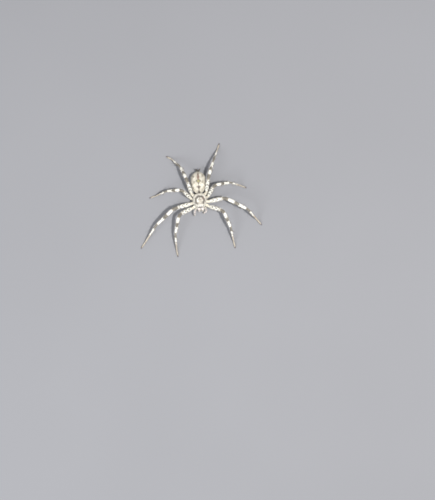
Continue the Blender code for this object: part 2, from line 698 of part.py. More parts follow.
def centre_on_soles():
    """Moves every mesh, so that the origin is the middle of the model's box at its lowest level."""
    pieces = [piece for piece in bpy.context.scene.objects if piece.type == "MESH"]
    points = np.array([vertex.co for piece in pieces for vertex in piece.data.vertices])
    low = points.min(axis=0)
    high = points.max(axis=0)
    shift = Vector((-(low[0] + high[0]) / 2, -(low[1] + high[1]) / 2, -low[2]))
    for piece in pieces:
        for vertex in piece.data.vertices:
            vertex.co += shift
        piece.data.update()


def main():
    for old in list(bpy.data.objects):
        bpy.data.objects.remove(old)
    build_head()
    build_underside()
    build_jaws()
    build_palps()
    build_abdomen()
    for name in LEG_PLANS:
        build_leg(name)
    centre_on_soles()


main()
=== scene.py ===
"""Looks for the huntsman spider: skin, short hair, spines, eyes and claws, a pale floor and soft light.

Sizes are in millimetres until a mesh is made, where MM turns them into metres. Points are placed
in the frame of the part's source first, where the middle of the front body is the origin in plan,
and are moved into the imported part's frame when their mesh is made.
"""

import math
import random
from collections import namedtuple

import bpy
import numpy as np
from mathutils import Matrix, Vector


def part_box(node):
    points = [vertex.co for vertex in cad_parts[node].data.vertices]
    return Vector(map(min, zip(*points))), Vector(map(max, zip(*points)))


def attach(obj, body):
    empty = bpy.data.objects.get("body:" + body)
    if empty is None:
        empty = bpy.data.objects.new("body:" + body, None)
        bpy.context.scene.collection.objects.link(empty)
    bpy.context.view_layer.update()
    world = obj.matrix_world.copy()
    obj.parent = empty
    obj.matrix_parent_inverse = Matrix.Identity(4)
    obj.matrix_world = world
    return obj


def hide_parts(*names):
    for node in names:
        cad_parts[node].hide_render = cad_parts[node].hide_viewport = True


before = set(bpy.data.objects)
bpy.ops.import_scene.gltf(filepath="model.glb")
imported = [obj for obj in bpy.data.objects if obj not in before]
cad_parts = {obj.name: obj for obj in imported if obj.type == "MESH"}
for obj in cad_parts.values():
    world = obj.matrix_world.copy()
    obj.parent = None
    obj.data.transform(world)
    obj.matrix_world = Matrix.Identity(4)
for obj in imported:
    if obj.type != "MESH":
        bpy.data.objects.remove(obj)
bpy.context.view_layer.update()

MM = 0.001
UP = np.array((0.0, 0.0, 1.0))
# A direction counts as steep when its upward share is more than this
STEEP = 0.9
SIDES = (("left", 1), ("right", -1))
# Seeds of the random draws, one for each group of pieces
SEEDS = {"head": 21, "underside": 22, "jaws": 23, "palps": 24, "abdomen": 25}
LEG_SEED_STEP = 7

# Colours, sRGB hex
COLOURS = {
    "white": "#F8F5EB",
    "cream": "#F0EADB",
    "ivory": "#F6F1E6",
    "beige": "#C2B8A8",
    "brown": "#7E6E58",
    "taupe": "#9A9284",
    "dusk": "#868075",
    "dot": "#4A443C",
    "sand": "#ECE5D6",
    "olive": "#BCB6A6",
    "khaki": "#7E7658",
    "pear": "#C6BE8C",
    "rust": "#8B6858",
    "umber": "#574D42",
    "blush": "#FAF0EB",
    "belly": "#CFC4A6",
    "spine": "#3A2E25",
    "spine_root": "#7A6753",
    "horn": "#2B1610",
    "horn_root": "#5C2E1C",
    "spinneret": "#4C463B",
    "pupil": "#0D0A0A",
    "iris": "#1F1714",
    "card_dark": "#87878A",
    "card_pale": "#8C8C8F",
    "lamp": "#FFFEFC",
    "soft_lamp": "#F7FBFF",
    "sky": "#F7F9FF",
}

# Refractive indices typical of insect and spider cuticle, of hair and of a clear lens
CUTICLE_IOR = 1.56
HAIR_IOR = 1.55
LENS_IOR = 1.50
# Sizes of patterns: patches of paler and darker hair, broad and fine; grain of horn, drawn coarser
# than the real one so that it shows; clouds in the depth of an eye and on card
MOTTLE_SIZES = (2.2, 0.38)
HORN_GRAIN_SIZES = (0.62, 0.17)
EYE_DEPTH_SIZE = 0.67
CARD_CLOUD_SIZE = 110.0

# Front body
PROSOMA_HEADING = -83.0
MARGIN_HEIGHT = 4.5
EDGE_DEPTH = 0.12
CARAPACE_POWER = 0.82
# Distance ahead of its middle, half width, top above the margin
CARAPACE_STATIONS = (
    (-3.95, 1.30, 0.55),
    (-3.60, 2.20, 0.90),
    (-2.90, 3.10, 1.35),
    (-1.90, 3.68, 1.70),
    (-0.60, 3.92, 1.92),
    (0.70, 3.74, 2.05),
    (1.80, 3.28, 2.12),
    (2.60, 2.86, 2.10),
    (3.20, 2.60, 1.95),
    (3.60, 2.42, 1.65),
    (3.82, 2.25, 1.25),
    (3.90, 2.05, 0.85),
)
# Furrow in its middle: depth, distance ahead, half width, half length
CARAPACE_FURROW = (0.16, -1.3, 0.14, 0.55)
# Grooves that fan out from one point of the midline: degrees from the front, depth
GROOVES = ((42.0, 0.12), (72.0, 0.06), (104.0, 0.06), (136.0, 0.06))
GROOVES_MEET = -1.0
GROOVE_WIDTH = 0.20
# Distances from there over which the grooves begin and end
GROOVES_BEGIN = (0.5, 1.1)
GROOVES_END = (3.6, 2.8)
# Rings that round off the two ends of the carapace
CARAPACE_REAR = ((-4.00, 0.20, 0.12), (-3.99, 0.55, 0.28), (-3.97, 0.95, 0.42))
CARAPACE_FACE = ((3.93, 1.75, 0.70), (3.95, 1.15, 0.45), (3.955, 0.50, 0.20))
CARAPACE_RINGS = 110
CARAPACE_SIDES = 96
# Steps along its outline, and how many of them a corner is rounded over
CARAPACE_STEPS = 600
CARAPACE_ROUND = 9.0
# Half the distance over which its slope is measured
SLOPE_REACH = 0.15

STERNUM_HALF_WIDTH = 1.75
STERNUM_HALF_LENGTH = 2.45
STERNUM_AHEAD = -0.1
# The hub between the coxae: height, half width, half length, from the carapace down
HUB_LEVELS = (
    (4.48, 3.30, 3.30),
    (4.30, 3.20, 3.25),
    (4.00, 2.80, 3.00),
    (3.50, 2.10, 2.65),
    (3.00, 1.80, 2.48),
    (2.60, 1.74, 2.44),
    (2.44, 1.66, 2.36),
    (2.32, 1.48, 2.18),
    (2.26, 1.15, 1.80),
    (2.23, 0.70, 1.20),
)
HUB_RINGS = 44
HUB_SIDES = 64
# Short parts: where they start and end, as left, ahead and height, or share of length, half width;
# the steps that a profile is rounded over, and its least half width. A tallness is the height of a
# part's cross-section next to its width.
TIP_ROUND = 1.2
TIP_LEAST = 0.03
LABIUM = ((0.0, 2.55, 2.62), (0.0, 3.42, 2.60))
LABIUM_PROFILE = ((0.0, 0.30), (0.4, 0.34), (0.8, 0.26), (0.95, 0.16), (1.0, 0.06))
MAXILLA = ((0.95, 2.60, 2.90), (0.80, 4.25, 2.60))
MAXILLA_PROFILE = ((0.0, 0.36), (0.2, 0.43), (0.6, 0.43), (0.88, 0.32), (0.97, 0.18), (1.0, 0.06))
MAXILLA_TALLNESS = 1.2
PEDICEL_PROFILE = ((0.0, 0.50), (0.5, 0.42), (1.0, 0.54))
PEDICEL_HEIGHT = 3.5
# How much it rises backwards, and how far it reaches into the hub and into the abdomen
PEDICEL_RISE = 0.1
PEDICEL_SUNK = (0.25, 0.35)
# Darker rim of the sternum: strength, height, half width
STERNUM_RIM = (0.5, 2.42, 0.12)

# Eyes: distance from the midline, distance ahead, radius, and for the front row the height
FRONT_EYES = {"median": (0.36, 0.78, 0.21), "lateral": (1.02, 0.74, 0.29)}
REAR_EYES = {"median": (0.46, 3.18, 0.22), "lateral": (1.50, 2.98, 0.28)}
FRONT_EYE_AHEAD = 3.90
# How deep a lens sits in the skin, as a share of its radius
EYE_SUNK = 0.35
# Raised rim round an eye: height, distance from the lens, half width, and where hair begins
EYE_RIM = (0.07, 0.06, 0.11)
EYE_BARE = (0.03, 0.09)
# Dark and pale rings round an eye: colour, amount, distance from the lens
EYE_RINGS_OF_COLOUR = (("umber", 0.8, 0.02), ("white", 0.7, 0.22))
EYE_RING_HALF_WIDTH = 0.10
# First and last ring of a lens, as shares of half a turn
EYE_ENDS = (0.03, 0.97)
EYE_RINGS = 17
EYE_SIDES = 28

# Jaws
CHELICERA_ENDS = ((0.95, 4.0, 4.52), (0.90, 5.70, 2.55))
CHELICERA_PROFILE = (
    (0.0, 0.62),
    (0.12, 0.74),
    (0.30, 0.79),
    (0.50, 0.78),
    (0.70, 0.70),
    (0.88, 0.55),
    (0.96, 0.42),
    (1.0, 0.26),
)
CHELICERA_BOW = 0.14
CHELICERA_TALLNESS = 1.04
CHELICERA_RINGS = 52
CHELICERA_SIDES = 40
# A darker band across it, as strength, place and half width, and its dark end, as strength and where
# it begins and is full, both in shares of its length
CHELICERA_BAND = (0.60, 0.62, 0.16)
CHELICERA_END = (0.6, 0.93, 0.98)
FANG_ROOT = 0.25
FANG_LENGTH = 1.35
FANG_CURL = 80.0
FANG_SUNK = 0.1
# How far it curls towards the midline and backwards
FANG_AIM = (0.75, 0.6)
FANG_RINGS = 21
FANG_SIDES = 16

# Palps, as joints in the front body's frame: left, ahead, up
PALPS = {
    "left": (
        (1.62, 3.42, 3.05),
        (2.85, 4.80, 4.70),
        (3.00, 5.60, 4.50),
        (2.50, 6.65, 3.30),
        (1.00, 7.00, 1.75),
    ),
    "right": (
        (1.62, 3.42, 3.05),
        (2.95, 4.65, 4.75),
        (3.30, 5.45, 4.65),
        (3.75, 6.60, 3.60),
        (3.95, 7.90, 1.60),
    ),
}
# Half width of a palp where it is widest, next to the widest value of its profiles
PALP_SIZE = 0.42 / 0.88
PALP_BOWS = (0.12, 0.0, 0.0, 0.0)
PALP_PROFILES = (
    ((0.0, 0.70), (0.25, 0.84), (0.65, 0.88), (1.0, 0.74)),
    ((0.1, 0.76), (0.55, 0.88), (1.0, 0.78)),
    ((0.1, 0.80), (0.60, 0.88), (1.0, 0.80)),
    ((0.1, 0.82), (0.45, 0.86), (0.80, 0.68), (0.95, 0.42), (1.0, 0.20)),
)

# Abdomen
ABDOMEN_FRONT = (-0.40, 4.12)
ABDOMEN_LENGTH = 11.6
ABDOMEN_HEADING = 94.6
ABDOMEN_HALF_WIDTH = 4.15
ABDOMEN_RISE = 2.7
ABDOMEN_DROP = 2.3
ABDOMEN_FRONT_TAPER = 0.85
ABDOMEN_WIDEST = 0.6
ABDOMEN_PLAN_POWER = 2.6
ABDOMEN_POWER = 0.95
ABDOMEN_FRONT_BLUNTNESS = 0.36
ABDOMEN_REAR_BLUNTNESS = 0.46
ABDOMEN_AXIS = ((0.0, 3.70), (0.25, 4.05), (0.6, 4.1), (1.0, 3.5))
ABDOMEN_AXIS_ROUND = 5.0
ABDOMEN_RINGS = 130
ABDOMEN_SIDES = 110
# Height of its side, where the upper side begins, and the small angle left open at each end
ABDOMEN_SIDE_HEIGHT = 4.0
ABDOMEN_END_ANGLE = 0.045
# Dimples where muscles are fixed: distance along, distance from the midline
ABDOMEN_DIMPLES = ((3.1, 0.95), (5.0, 1.15), (7.2, 1.0))
DIMPLE_DEPTH = 0.12
DIMPLE_WIDTH = 0.24
# Furrow over the heart: depth, distance along, half width, half length
ABDOMEN_FURROW = (0.05, 4.0, 0.5, 3.2)
# Furrow across the belly: depth, distance along, bend, half width, half length; how dark it is
BELLY_FURROW = (0.12, 2.9, 0.12, 0.16, 2.6)
BELLY_FURROW_AMOUNT = 0.6
# Soft folds at the rear: depth, turn of their wave per millimetre along and aside, and where they begin
FOLDS = (0.018, 5.2, 1.1)
FOLDS_BEGIN = (7.0, 10.0)
# How far left of the abdomen's midline the spinnerets lie
SPINNERET_SHIFT = 0.3
MOUND_SUNK = 0.25
MOUND_LENGTH = 0.9
MOUND_TALLNESS = 0.85
SPINNERET_SUNK = 0.4
SPINNERET_ASIDE = 0.28
SPINNERET_SIDES = 16
# Share of the length, half width, and for one spinneret its share of the half width
SPINNERET_MOUND = ((0.0, 0.66), (0.6, 0.63), (0.9, 0.45), (1.0, 0.15))
SPINNERET_TAPER = (
    (0.0, 1.0),
    (0.45, 1.0),
    (0.52, 0.8),
    (0.6, 0.85),
    (0.92, 0.6),
    (0.98, 0.35),
    (1.0, 0.15),
)
# Sideways lean in degrees, drop in degrees, length, half width, distance below the mound's middle
SPINNERETS = (
    (30.0, 4.0, 1.45, 0.21, -0.12),
    (17.0, 22.0, 1.05, 0.24, 0.30),
    (7.0, 10.0, 0.55, 0.15, 0.05),
)

# Legs: angle round the sternum from its front, then the coxa's far end: left, ahead
COXAE = {1: (50.0, 4.00, 3.40), 2: (80.0, 4.50, 1.00), 3: (110.0, 4.50, -1.50), 4: (142.0, 4.00, -3.80)}
COXA_HEIGHT = 3.15
# How far inside the sternum's edge it starts
COXA_SUNK = 0.1
TROCHANTER_LENGTH = 0.9
TROCHANTER_RISE = 0.2
SOLE_HEIGHT = 0.36
# Femur, patella, tibia, metatarsus, tarsus: heading in degrees, plan length, height of the far joint
LEG_PLANS = {
    "leg_1_left": (
        (-18, 6.8, 7.2), (-42, 2.2, 7.9), (-66, 9.1, 5.8), (-78, 7.7, 1.05),
        (-76, 3.1, SOLE_HEIGHT),
    ),
    "leg_2_left": (
        (11, 7.6, 7.6), (-13, 2.5, 8.5), (-27, 12.2, 8.7), (-46, 7.9, 1.35),
        (-48, 3.1, SOLE_HEIGHT),
    ),
    "leg_3_left": (
        (60, 5.2, 6.9), (36, 2.1, 7.8), (10, 7.7, 6.0), (-14, 6.1, 1.05),
        (-21, 2.8, SOLE_HEIGHT),
    ),
    "leg_4_left": (
        (82, 6.8, 7.2), (76, 2.3, 7.7), (74, 7.6, 5.7), (71, 7.4, 1.05),
        (74, 2.9, SOLE_HEIGHT),
    ),
    "leg_1_right": (
        (-153, 6.7, 7.2), (-126, 2.3, 7.9), (-101, 9.5, 4.8), (-86, 8.7, 0.95),
        (-79, 3.3, SOLE_HEIGHT),
    ),
    "leg_2_right": (
        (-163, 7.7, 7.2), (-155, 2.5, 8.0), (-137, 12.6, 5.4), (-124, 11.0, 0.95),
        (-124, 3.7, SOLE_HEIGHT),
    ),
    "leg_3_right": (
        (137, 5.0, 6.9), (161, 2.1, 7.8), (-176, 7.4, 5.5), (-158, 6.8, 1.0),
        (-162, 2.9, SOLE_HEIGHT),
    ),
    "leg_4_right": (
        (109, 6.4, 7.0), (112, 2.3, 7.6), (117, 6.9, 5.2), (137, 6.6, 1.0),
        (153, 3.0, SOLE_HEIGHT),
    ),
}
# Thickness of each pair next to the profiles, and how high each length bows in its middle
LEG_THICKNESS = {1: 1.0, 2: 1.06, 3: 0.92, 4: 0.97}
LEG_BOWS = (0.0, 0.0, 0.45, 0.0, 0.2, 0.3, 0.0)
# Share of the length, half thickness, for coxa, trochanter, femur, patella, tibia, metatarsus, tarsus
LEG_PROFILES = (
    ((0.0, 0.46), (0.30, 0.62), (0.60, 0.80), (0.86, 0.90), (0.97, 0.78)),
    ((0.25, 0.82), (0.70, 0.86), (0.95, 0.78)),
    ((0.05, 0.80), (0.15, 0.96), (0.35, 1.06), (0.62, 1.02), (0.86, 0.94), (0.98, 0.80)),
    ((0.10, 0.78), (0.40, 0.92), (0.80, 0.90), (0.95, 0.80)),
    ((0.04, 0.78), (0.16, 0.88), (0.45, 0.86), (0.75, 0.76), (0.93, 0.72), (0.99, 0.62)),
    ((0.02, 0.54), (0.10, 0.60), (0.45, 0.52), (0.85, 0.46), (0.97, 0.42)),
    ((0.06, 0.40), (0.40, 0.44), (0.72, 0.47), (0.90, 0.43), (0.97, 0.34), (1.0, 0.18)),
)
# How deep the skin folds in at the far end of each length, as a share of its thickness
LEG_CREASES = (0.12, 0.20, 0.20, 0.16, 0.22, 0.18)
PALP_CREASES = (0.14, 0.12, 0.12)
CREASE_WIDTH = 0.16
# How far the skin lies inside the solids' surface, where the coat takes up the rest
COAT_DEPTH = 0.08
# The reach over which the bends of a limb's line are rounded, the step between its points, and how
# many steps lie between two rings of skin
JOINT_ROUND = 0.38
FINE_STEP = 0.05
RINGS_EVERY = 3
LEG_SIDES = 28
# Steps that corners of a limb's profile are rounded over, and its least half width
LIMB_ROUND = 2.0
LIMB_LEAST = 0.05

# Spines
SPINE_LENGTH = 2.2
SPINE_HALF_WIDTH = 0.078
# The share of its thickness that doesn't depend on its length
SPINE_LEAST = 0.45
# How deep its root sits in the skin, and how much of its length that takes
SPINE_SUNK = 0.12
SPINE_BURIED = 0.15
# Lean towards the foot in degrees, at its root and at its tip
SPINE_LEANS = (32.0, 54.0)
SPINE_RINGS = 9
SPINE_SIDES = 7
# How much each narrows to its tip, as a share of its root, and a power that says how late
SPINE_TAPER = (0.88, 1.3)
CLAW_TAPER = (0.85, 1.4)
FANG_TAPER = (0.92, 1.2)
# How far a spine's place and angle stray, and the range of its length
SPINE_SHIFT = 0.03
SPINE_SPREAD = 6.0
SPINE_LENGTHS = (0.86, 1.1)
# Angle round the leg, 90 on top, and shares of the length
FEMUR_SPINES = ((90, (0.32, 0.60)), (32, (0.46, 0.76)), (148, (0.46, 0.76)))
TIBIA_SPINES = (
    (88, (0.52,)),
    (14, (0.30, 0.66)),
    (166, (0.34, 0.70)),
    (-52, (0.20, 0.56)),
    (-128, (0.20, 0.56)),
)
METATARSUS_SPINES = ((28, (0.14, 0.44)), (152, (0.18, 0.48)), (-40, (0.30,)), (-140, (0.30,)))
# Numbers of the lengths that carry spines, and their rows
SPINE_ROWS = ((2, FEMUR_SPINES), (4, TIBIA_SPINES), (5, METATARSUS_SPINES))
# Lesser bristles between the spines, in the same form
BRISTLE_ROWS = (
    (2, ((60, (0.22, 0.50, 0.82)), (118, (0.26, 0.54, 0.84)), (2, (0.60,)), (178, (0.62,)))),
    (3, ((40, (0.45,)), (140, (0.45,)))),
    (4, ((50, (0.22, 0.80)), (130, (0.24, 0.82)), (-90, (0.38, 0.80)))),
    (5, ((60, (0.30, 0.66)), (120, (0.34, 0.70)), (-90, (0.60, 0.86)))),
)
BRISTLE_LENGTH = 1.21
BRISTLE_SPREAD = 9.0
BRISTLE_LENGTHS = (0.8, 1.2)
# Dark dots at the roots of spines, and at those of bristles up to a position along the leg
DOT_RADIUS = 0.36
BRISTLE_DOT_RADIUS = 0.252
BRISTLE_DOTS_END = 3.0
DOT_EDGE = 2.2
DOT_AMOUNT = 0.85
CLAW_LENGTH = 0.75
CLAW_HALF_WIDTH = 0.10
CLAW_SIDES = 8
# Corners of its curve: share of its length ahead, distance aside, height over the foot's tip
CLAW_CORNERS = ((-0.40, 0.12, 0.02), (0.45, 0.19, 0.16), (0.92, 0.24, 0.02), (1.0, 0.25, -0.30))

# Leg colours: number of the length plus share of it, colour
LEG_BANDS = (
    (0.0, "cream"),
    (2.0, "cream"),
    (2.15, "white"),
    (2.88, "white"),
    (2.98, "taupe"),
    (3.15, "dusk"),
    (3.85, "dusk"),
    (3.98, "taupe"),
    (4.05, "white"),
    (4.30, "white"),
    (4.345, "dusk"),
    (4.51, "dusk"),
    (4.555, "white"),
    (4.88, "white"),
    (4.93, "dusk"),
    (5.15, "dusk"),
    (5.20, "white"),
    (5.50, "white"),
    (5.58, "beige"),
    (6.50, "beige"),
    (7.00, "taupe"),
)
# Waves on the edges of the bands: size, times round the leg, turn for each length along it
BAND_WAVES = ((0.010, 3.0, 5.0), (0.008, 5.0, -9.0))
# At a joint: how brown the skin and how thin the hair gets, and how far from it
JOINT_BROWN = (0.6, 0.20)
JOINT_BARE = (0.8, 0.22)
# Number of the metatarsus among a leg's lengths, and how much farther out its pale and dark bands lie
# in each pair of legs
METATARSUS = 5
METATARSUS_SHIFT = {1: 0.02, 2: 0.0, 3: 0.0, 4: 0.24}
PALP_BANDS = ((0.0, "cream"), (0.9, "ivory"), (1.4, "blush"), (3.2, "blush"), (4.0, "brown"))
# Dark dots on the palps: position along them, angle in degrees, radius
PALP_DOTS = ((0.45, 70.0, 0.17), (0.75, 110.0, 0.15), (1.45, 90.0, 0.16), (2.5, 90.0, 0.15))

# An oval mark: its colour and strength, where its middle is, its two half sizes, how sharp its edge is
Mark = namedtuple("Mark", "colour amount left along half_left half_along edge")
# The brown ring on the carapace, its darker core, and degrees from the front where it gets full.
# The power makes it even across, with a soft edge. An amount is the strength of a colour.
RING_AMOUNT = 0.90
RING_RADIUS = 2.3
RING_HALF_WIDTH = 0.72
RING_POWER = 0.35
RING_CORE_AMOUNT = 0.50
RING_CORE_INWARDS = 0.1
RING_CORE_HALF_WIDTH = 0.30
RING_FULL = (24.0, 46.0)
RING_LEAST = 0.25
# Waves on it: size, times round it, start in degrees
RING_WAVES = ((0.10, 7.0, 0.0), (0.06, 13.0, 40.0))
# The streaks near its edge: distances ahead and aside, their width, where they begin and end
STREAK_AMOUNT = 0.8
STREAK_LINE = ((0.0, 3.45), (4.0, 1.77))
STREAK_HALF_WIDTH = 0.28
STREAK_BEGINS = (-2.6, -1.1)
STREAK_ENDS = 3.3
# The shaded rear of the carapace: distances from its middle, distances ahead
SHADE_AMOUNT = 0.20
SHADE_BEYOND = (2.9, 3.4)
SHADE_BEHIND = (-0.5, -2.0)
# The pale margin: heights over it, and how far ahead it reaches
MARGIN_PALE_AMOUNT = 0.7
MARGIN_PALE = (0.35, 0.05)
MARGIN_PALE_ENDS = 3.6
CARAPACE_MIDDLE = (
    Mark("beige", 0.62, 0.3, 0.8, 1.3, 1.7, 1.6),
    Mark("white", 0.70, -1.0, 0.3, 0.65, 0.80, 1.5),
)
CARAPACE_PAIRS = (
    Mark("brown", 0.55, 0.55, -0.35, 0.26, 0.45, 3.0),
    Mark("brown", 0.45, 0.95, 1.2, 0.22, 0.50, 3.0),
    Mark("brown", 0.60, 1.60, 2.05, 0.38, 0.30, 3.0),
)
CARAPACE_MARKS = (
    Mark("umber", 0.70, 0.0, -1.25, 0.13, 0.60, 3.0),
    Mark("rust", 0.40, 1.9, -0.9, 0.8, 0.7, 1.2),
    Mark("umber", 0.75, 1.95, 1.0, 0.30, 0.28, 3.0),
    Mark("white", 0.95, 0.0, 2.85, 2.0, 0.50, 1.6),
    # The dark eye region across the top of the face: partly its real colour, partly painted shade where
    # the face turns down below the white brow
    Mark("umber", 0.95, 0.0, 3.78, 2.3, 0.32, 1.6),
)
ABDOMEN_BLOTCHES = (
    Mark("white", 0.40, 2.10, 4.3, 0.70, 0.90, 1.2),
    Mark("white", 0.40, 2.20, 7.8, 0.80, 1.00, 1.2),
    Mark("white", 0.40, 1.40, 9.9, 0.60, 0.80, 1.2),
    Mark("khaki", 0.50, 3.00, 2.9, 0.45, 0.60, 1.4),
    Mark("khaki", 0.50, 3.30, 4.9, 0.40, 0.50, 1.4),
    Mark("khaki", 0.50, 2.35, 5.9, 0.70, 0.75, 1.4),
    Mark("khaki", 0.50, 2.50, 8.9, 0.45, 0.55, 1.4),
    Mark("khaki", 0.50, 2.90, 9.7, 0.40, 0.50, 1.4),
)
DIMPLE_MARKS = [Mark("khaki", 0.65, aside, place, 0.17, 0.17, 3.0) for place, aside in ABDOMEN_DIMPLES]
# The dark wedge at the front: distance along, half length, how sharp its edge is, and half widths at
# distances along
WEDGE_AMOUNT = 0.92
WEDGE_ALONG = 0.75
WEDGE_HALF_LENGTH = 1.1
WEDGE_EDGE = 2.2
WEDGE_HALF_WIDTHS = ((0.25, 0.975), (1.5, 0.20))
ABDOMEN_FRONT_MARKS = (
    Mark("brown", 0.75, 0.10, 3.1, 0.24, 1.90, 1.5),
    Mark("umber", 0.90, 0.10, 3.1, 0.62, 0.85, 2.0),
    Mark("umber", 0.65, 0.90, 3.4, 0.36, 0.36, 1.6),
    Mark("umber", 0.65, -0.70, 3.4, 0.36, 0.36, 1.6),
)
# The diamond: its middle, to the left and along, its two half sizes, and the strengths of its dark
# line and of its inside, with shares of those sizes where each begins and is full
DIAMOND = (0.1, 6.45, 1.75, 1.50)
DIAMOND_LINE = (0.80, (1.0, 0.83))
DIAMOND_INSIDE = (0.95, (0.645, 0.484))
# The olive sides: distances from the midline, distances along; and the heights of the belly
OLIVE_AMOUNT = 0.32
OLIVE_ASIDE = (2.9, 4.1)
OLIVE_ALONG = (1.0, 2.0)
BELLY_HEIGHTS = (3.6, 2.4)
# Its darker middle: distance along, then half width, half length and how sharp the edge is
BELLY_DARK_AMOUNT = 0.35
BELLY_DARK_ALONG = 6.0
BELLY_DARK = (1.5, 4.0, 1.0)
ABDOMEN_REAR_MARKS = (
    Mark("umber", 0.80, 0.10, 5.15, 0.35, 0.40, 2.0),
    Mark("rust", 0.92, 0.10, 8.9, 0.62, 1.75, 2.0),
    Mark("beige", 0.60, 0.10, 9.5, 0.22, 0.90, 2.0),
    Mark("rust", 0.40, 0.05, 10.5, 0.16, 1.10, 1.4),
)

Surface = namedtuple("Surface", "points tint lay")
Line = namedtuple("Line", "position centre tangent half_width")
Coat = namedtuple("Coat", "count length width lift turn")

# The lay of hair is stored squeezed along each part, so that its streaks come out long
LIMB_LAY_RADIUS = 0.7
LIMB_LAY_SQUEEZE = 0.16
CARAPACE_LAY_SQUEEZE = 0.3
ABDOMEN_LAY_SQUEEZE = 0.25

# Hair: number, length, width, lift in degrees, spread of its heading in degrees
LEG_COAT = Coat(9000, 0.46, 0.036, 15.0, 13.0)
LEG_FINE_HAIR = Coat(520, 1.05, 0.026, 52.0, 30.0)
LEG_SOLE_HAIR = Coat(1200, 0.30, 0.030, 48.0, 25.0)
# Position along a leg, size of its hair next to the full size
LEG_HAIR_SIZES = (
    (0.0, 0.5),
    (1.0, 0.7),
    (2.2, 1.0),
    (4.0, 1.0),
    (5.3, 0.8),
    (6.0, 0.6),
    (6.8, 0.45),
    (7.0, 0.35),
)
# Positions where its coat gets full, where fine hair begins, and where the hair of the sole begins,
# and how much the skin faces down there
LEG_COAT_FULL = (0.0, 0.67)
LEG_COAT_LEAST = 0.05
# A power that says how much closer the hair stands where it is shorter
LEG_COAT_CLOSER = 1.2
LEG_FINE_FROM = 1.6
SOLE_FROM = (5.5, 6.0)
SOLE_FACING = (0.1, 1.1)
CARAPACE_COAT = Coat(17500, 0.26, 0.028, 13.0, 16.0)
CARAPACE_FINE_HAIR = Coat(260, 0.70, 0.026, 55.0, 30.0)
# Distances ahead over which the face begins, and sizes of the hair at distances ahead
FACE_BEGINS = (3.2, 3.8)
CARAPACE_HAIR_SIZES = ((-3.8, 3.0), (-3.3, 1.0), (3.2, 1.0), (3.8, 0.55))
CARAPACE_FINE_LEAST = 0.7
# How far the hair spreads sideways, on top and on the face
CARAPACE_HAIR_SPREAD = 0.25
FACE_HAIR_SPREAD = 0.3
# How dense it is under the margin next to the top, and how much denser on the face
UNDER_MARGIN = 0.05
FACE_DENSER = 0.8
ABDOMEN_COAT = Coat(18100, 0.46, 0.036, 14.0, 15.0)
ABDOMEN_FINE_HAIR = Coat(900, 0.95, 0.026, 45.0, 30.0)
ABDOMEN_FRINGE = Coat(900, 0.85, 0.032, 24.0, 22.0)
ABDOMEN_HAIR_SIZES = ((0.0, 0.75), (8.0, 1.15))
# Where the fringe grows: how much the skin faces forwards, heights; and how much it lies out of the
# skin and upwards, next to forwards
FRINGE_FACING = (0.25, 0.5)
FRINGE_HEIGHTS = (3.9, 4.9)
FRINGE_OUT = 0.3
FRINGE_UP = 0.6
CHELICERA_COAT = Coat(4200, 0.20, 0.024, 14.0, 14.0)
CHELICERA_FINE_HAIR = Coat(130, 0.80, 0.024, 45.0, 25.0)
PALP_COAT = Coat(3000, 0.34, 0.030, 24.0, 16.0)
PALP_FINE_HAIR = Coat(200, 0.75, 0.026, 50.0, 28.0)
HUB_COAT = Coat(4200, 0.34, 0.036, 18.0, 25.0)
MOUTH_COAT = Coat(700, 0.26, 0.030, 25.0, 20.0)
SPINNERET_COAT = Coat(350, 0.28, 0.030, 22.0, 20.0)
# Ranges of one hair's length, lift and shade, and the shades of its seven points from root to tip
HAIR_LENGTHS = (0.7, 1.3)
HAIR_LIFTS = (0.5, 1.5)
HAIR_SHADES = (0.84, 1.10)
HAIR_POINT_SHADES = (0.88, 0.88, 0.88, 1.0, 1.0, 1.0, 1.06)
# The lift of its outer half next to that of the inner, and its width in the middle next to the foot's
HAIR_TIP_LIFT = 0.4
HAIR_WAIST = 0.8
# The three edges of a hair, in degrees round it
HAIR_CORNERS = (90.0, 210.0, 330.0)
# How deep a hair's root sits in the skin
HAIR_SUNK = 0.04
# Corners of one hair's faces, and where its seven points lie in its patch of the unwrap
HAIR_FACES = ((0, 1, 4, 3), (1, 2, 5, 4), (2, 0, 3, 5), (3, 4, 6), (4, 5, 6), (5, 3, 6), (0, 2, 1))
HAIR_PATCH = np.array(
    ((-0.5, -0.5), (0.0, -0.5), (0.5, -0.5), (-0.4, 0.1), (0.0, 0.1), (0.4, 0.1), (0.0, 0.5))
)
# Size of one hair's patch on the unwrap, and the columns that one lot of hair is laid out in
PATCH = 0.003
UNWRAP_STRIPS = 4

# Camera: straight above, as the picture was taken, with the picture's framing in a plane over the floor
CAMERA_MIDDLE = (8.90, -27.61)
CAMERA_FRAME_HEIGHT = 275.0
CAMERA_PLANE = 5.0
CAMERA_LENS = 85.0
CAMERA_SENSOR = 36.0
CAMERA_CLIP = (0.005, 20.0)
# Lights, in metres: place, diameter, watts, colour
LIGHTS = {
    "key": ((0.30, -0.10, 0.90), 0.07, 9.8, "lamp"),
    "fill": ((-0.35, -0.30, 0.45), 0.40, 2.2, "soft_lamp"),
}
SKY_STRENGTH = 0.50
FLOOR_SIZE = 4.0


def heading(degrees):
    """The level unit vector at an angle counted from +X towards +Y."""
    angle = math.radians(degrees)
    return np.array((math.cos(angle), math.sin(angle), 0.0))


FORWARD = heading(PROSOMA_HEADING)
LEFT = heading(PROSOMA_HEADING + 90.0)
BACKWARD = heading(ABDOMEN_HEADING)
ABDOMEN_LEFT = heading(ABDOMEN_HEADING - 90.0)
ABDOMEN_START = np.array((*ABDOMEN_FRONT, 0.0))


def in_prosoma(left, ahead, height):
    """A point of the front body's frame: left of its midline, ahead of its middle, above the ground."""
    return LEFT * left + FORWARD * ahead + UP * height


def places_in_prosoma(sign, places):
    """Points of the front body's frame, mirrored to its right side where the sign is -1."""
    return [in_prosoma(sign * left, ahead, height) for left, ahead, height in places]


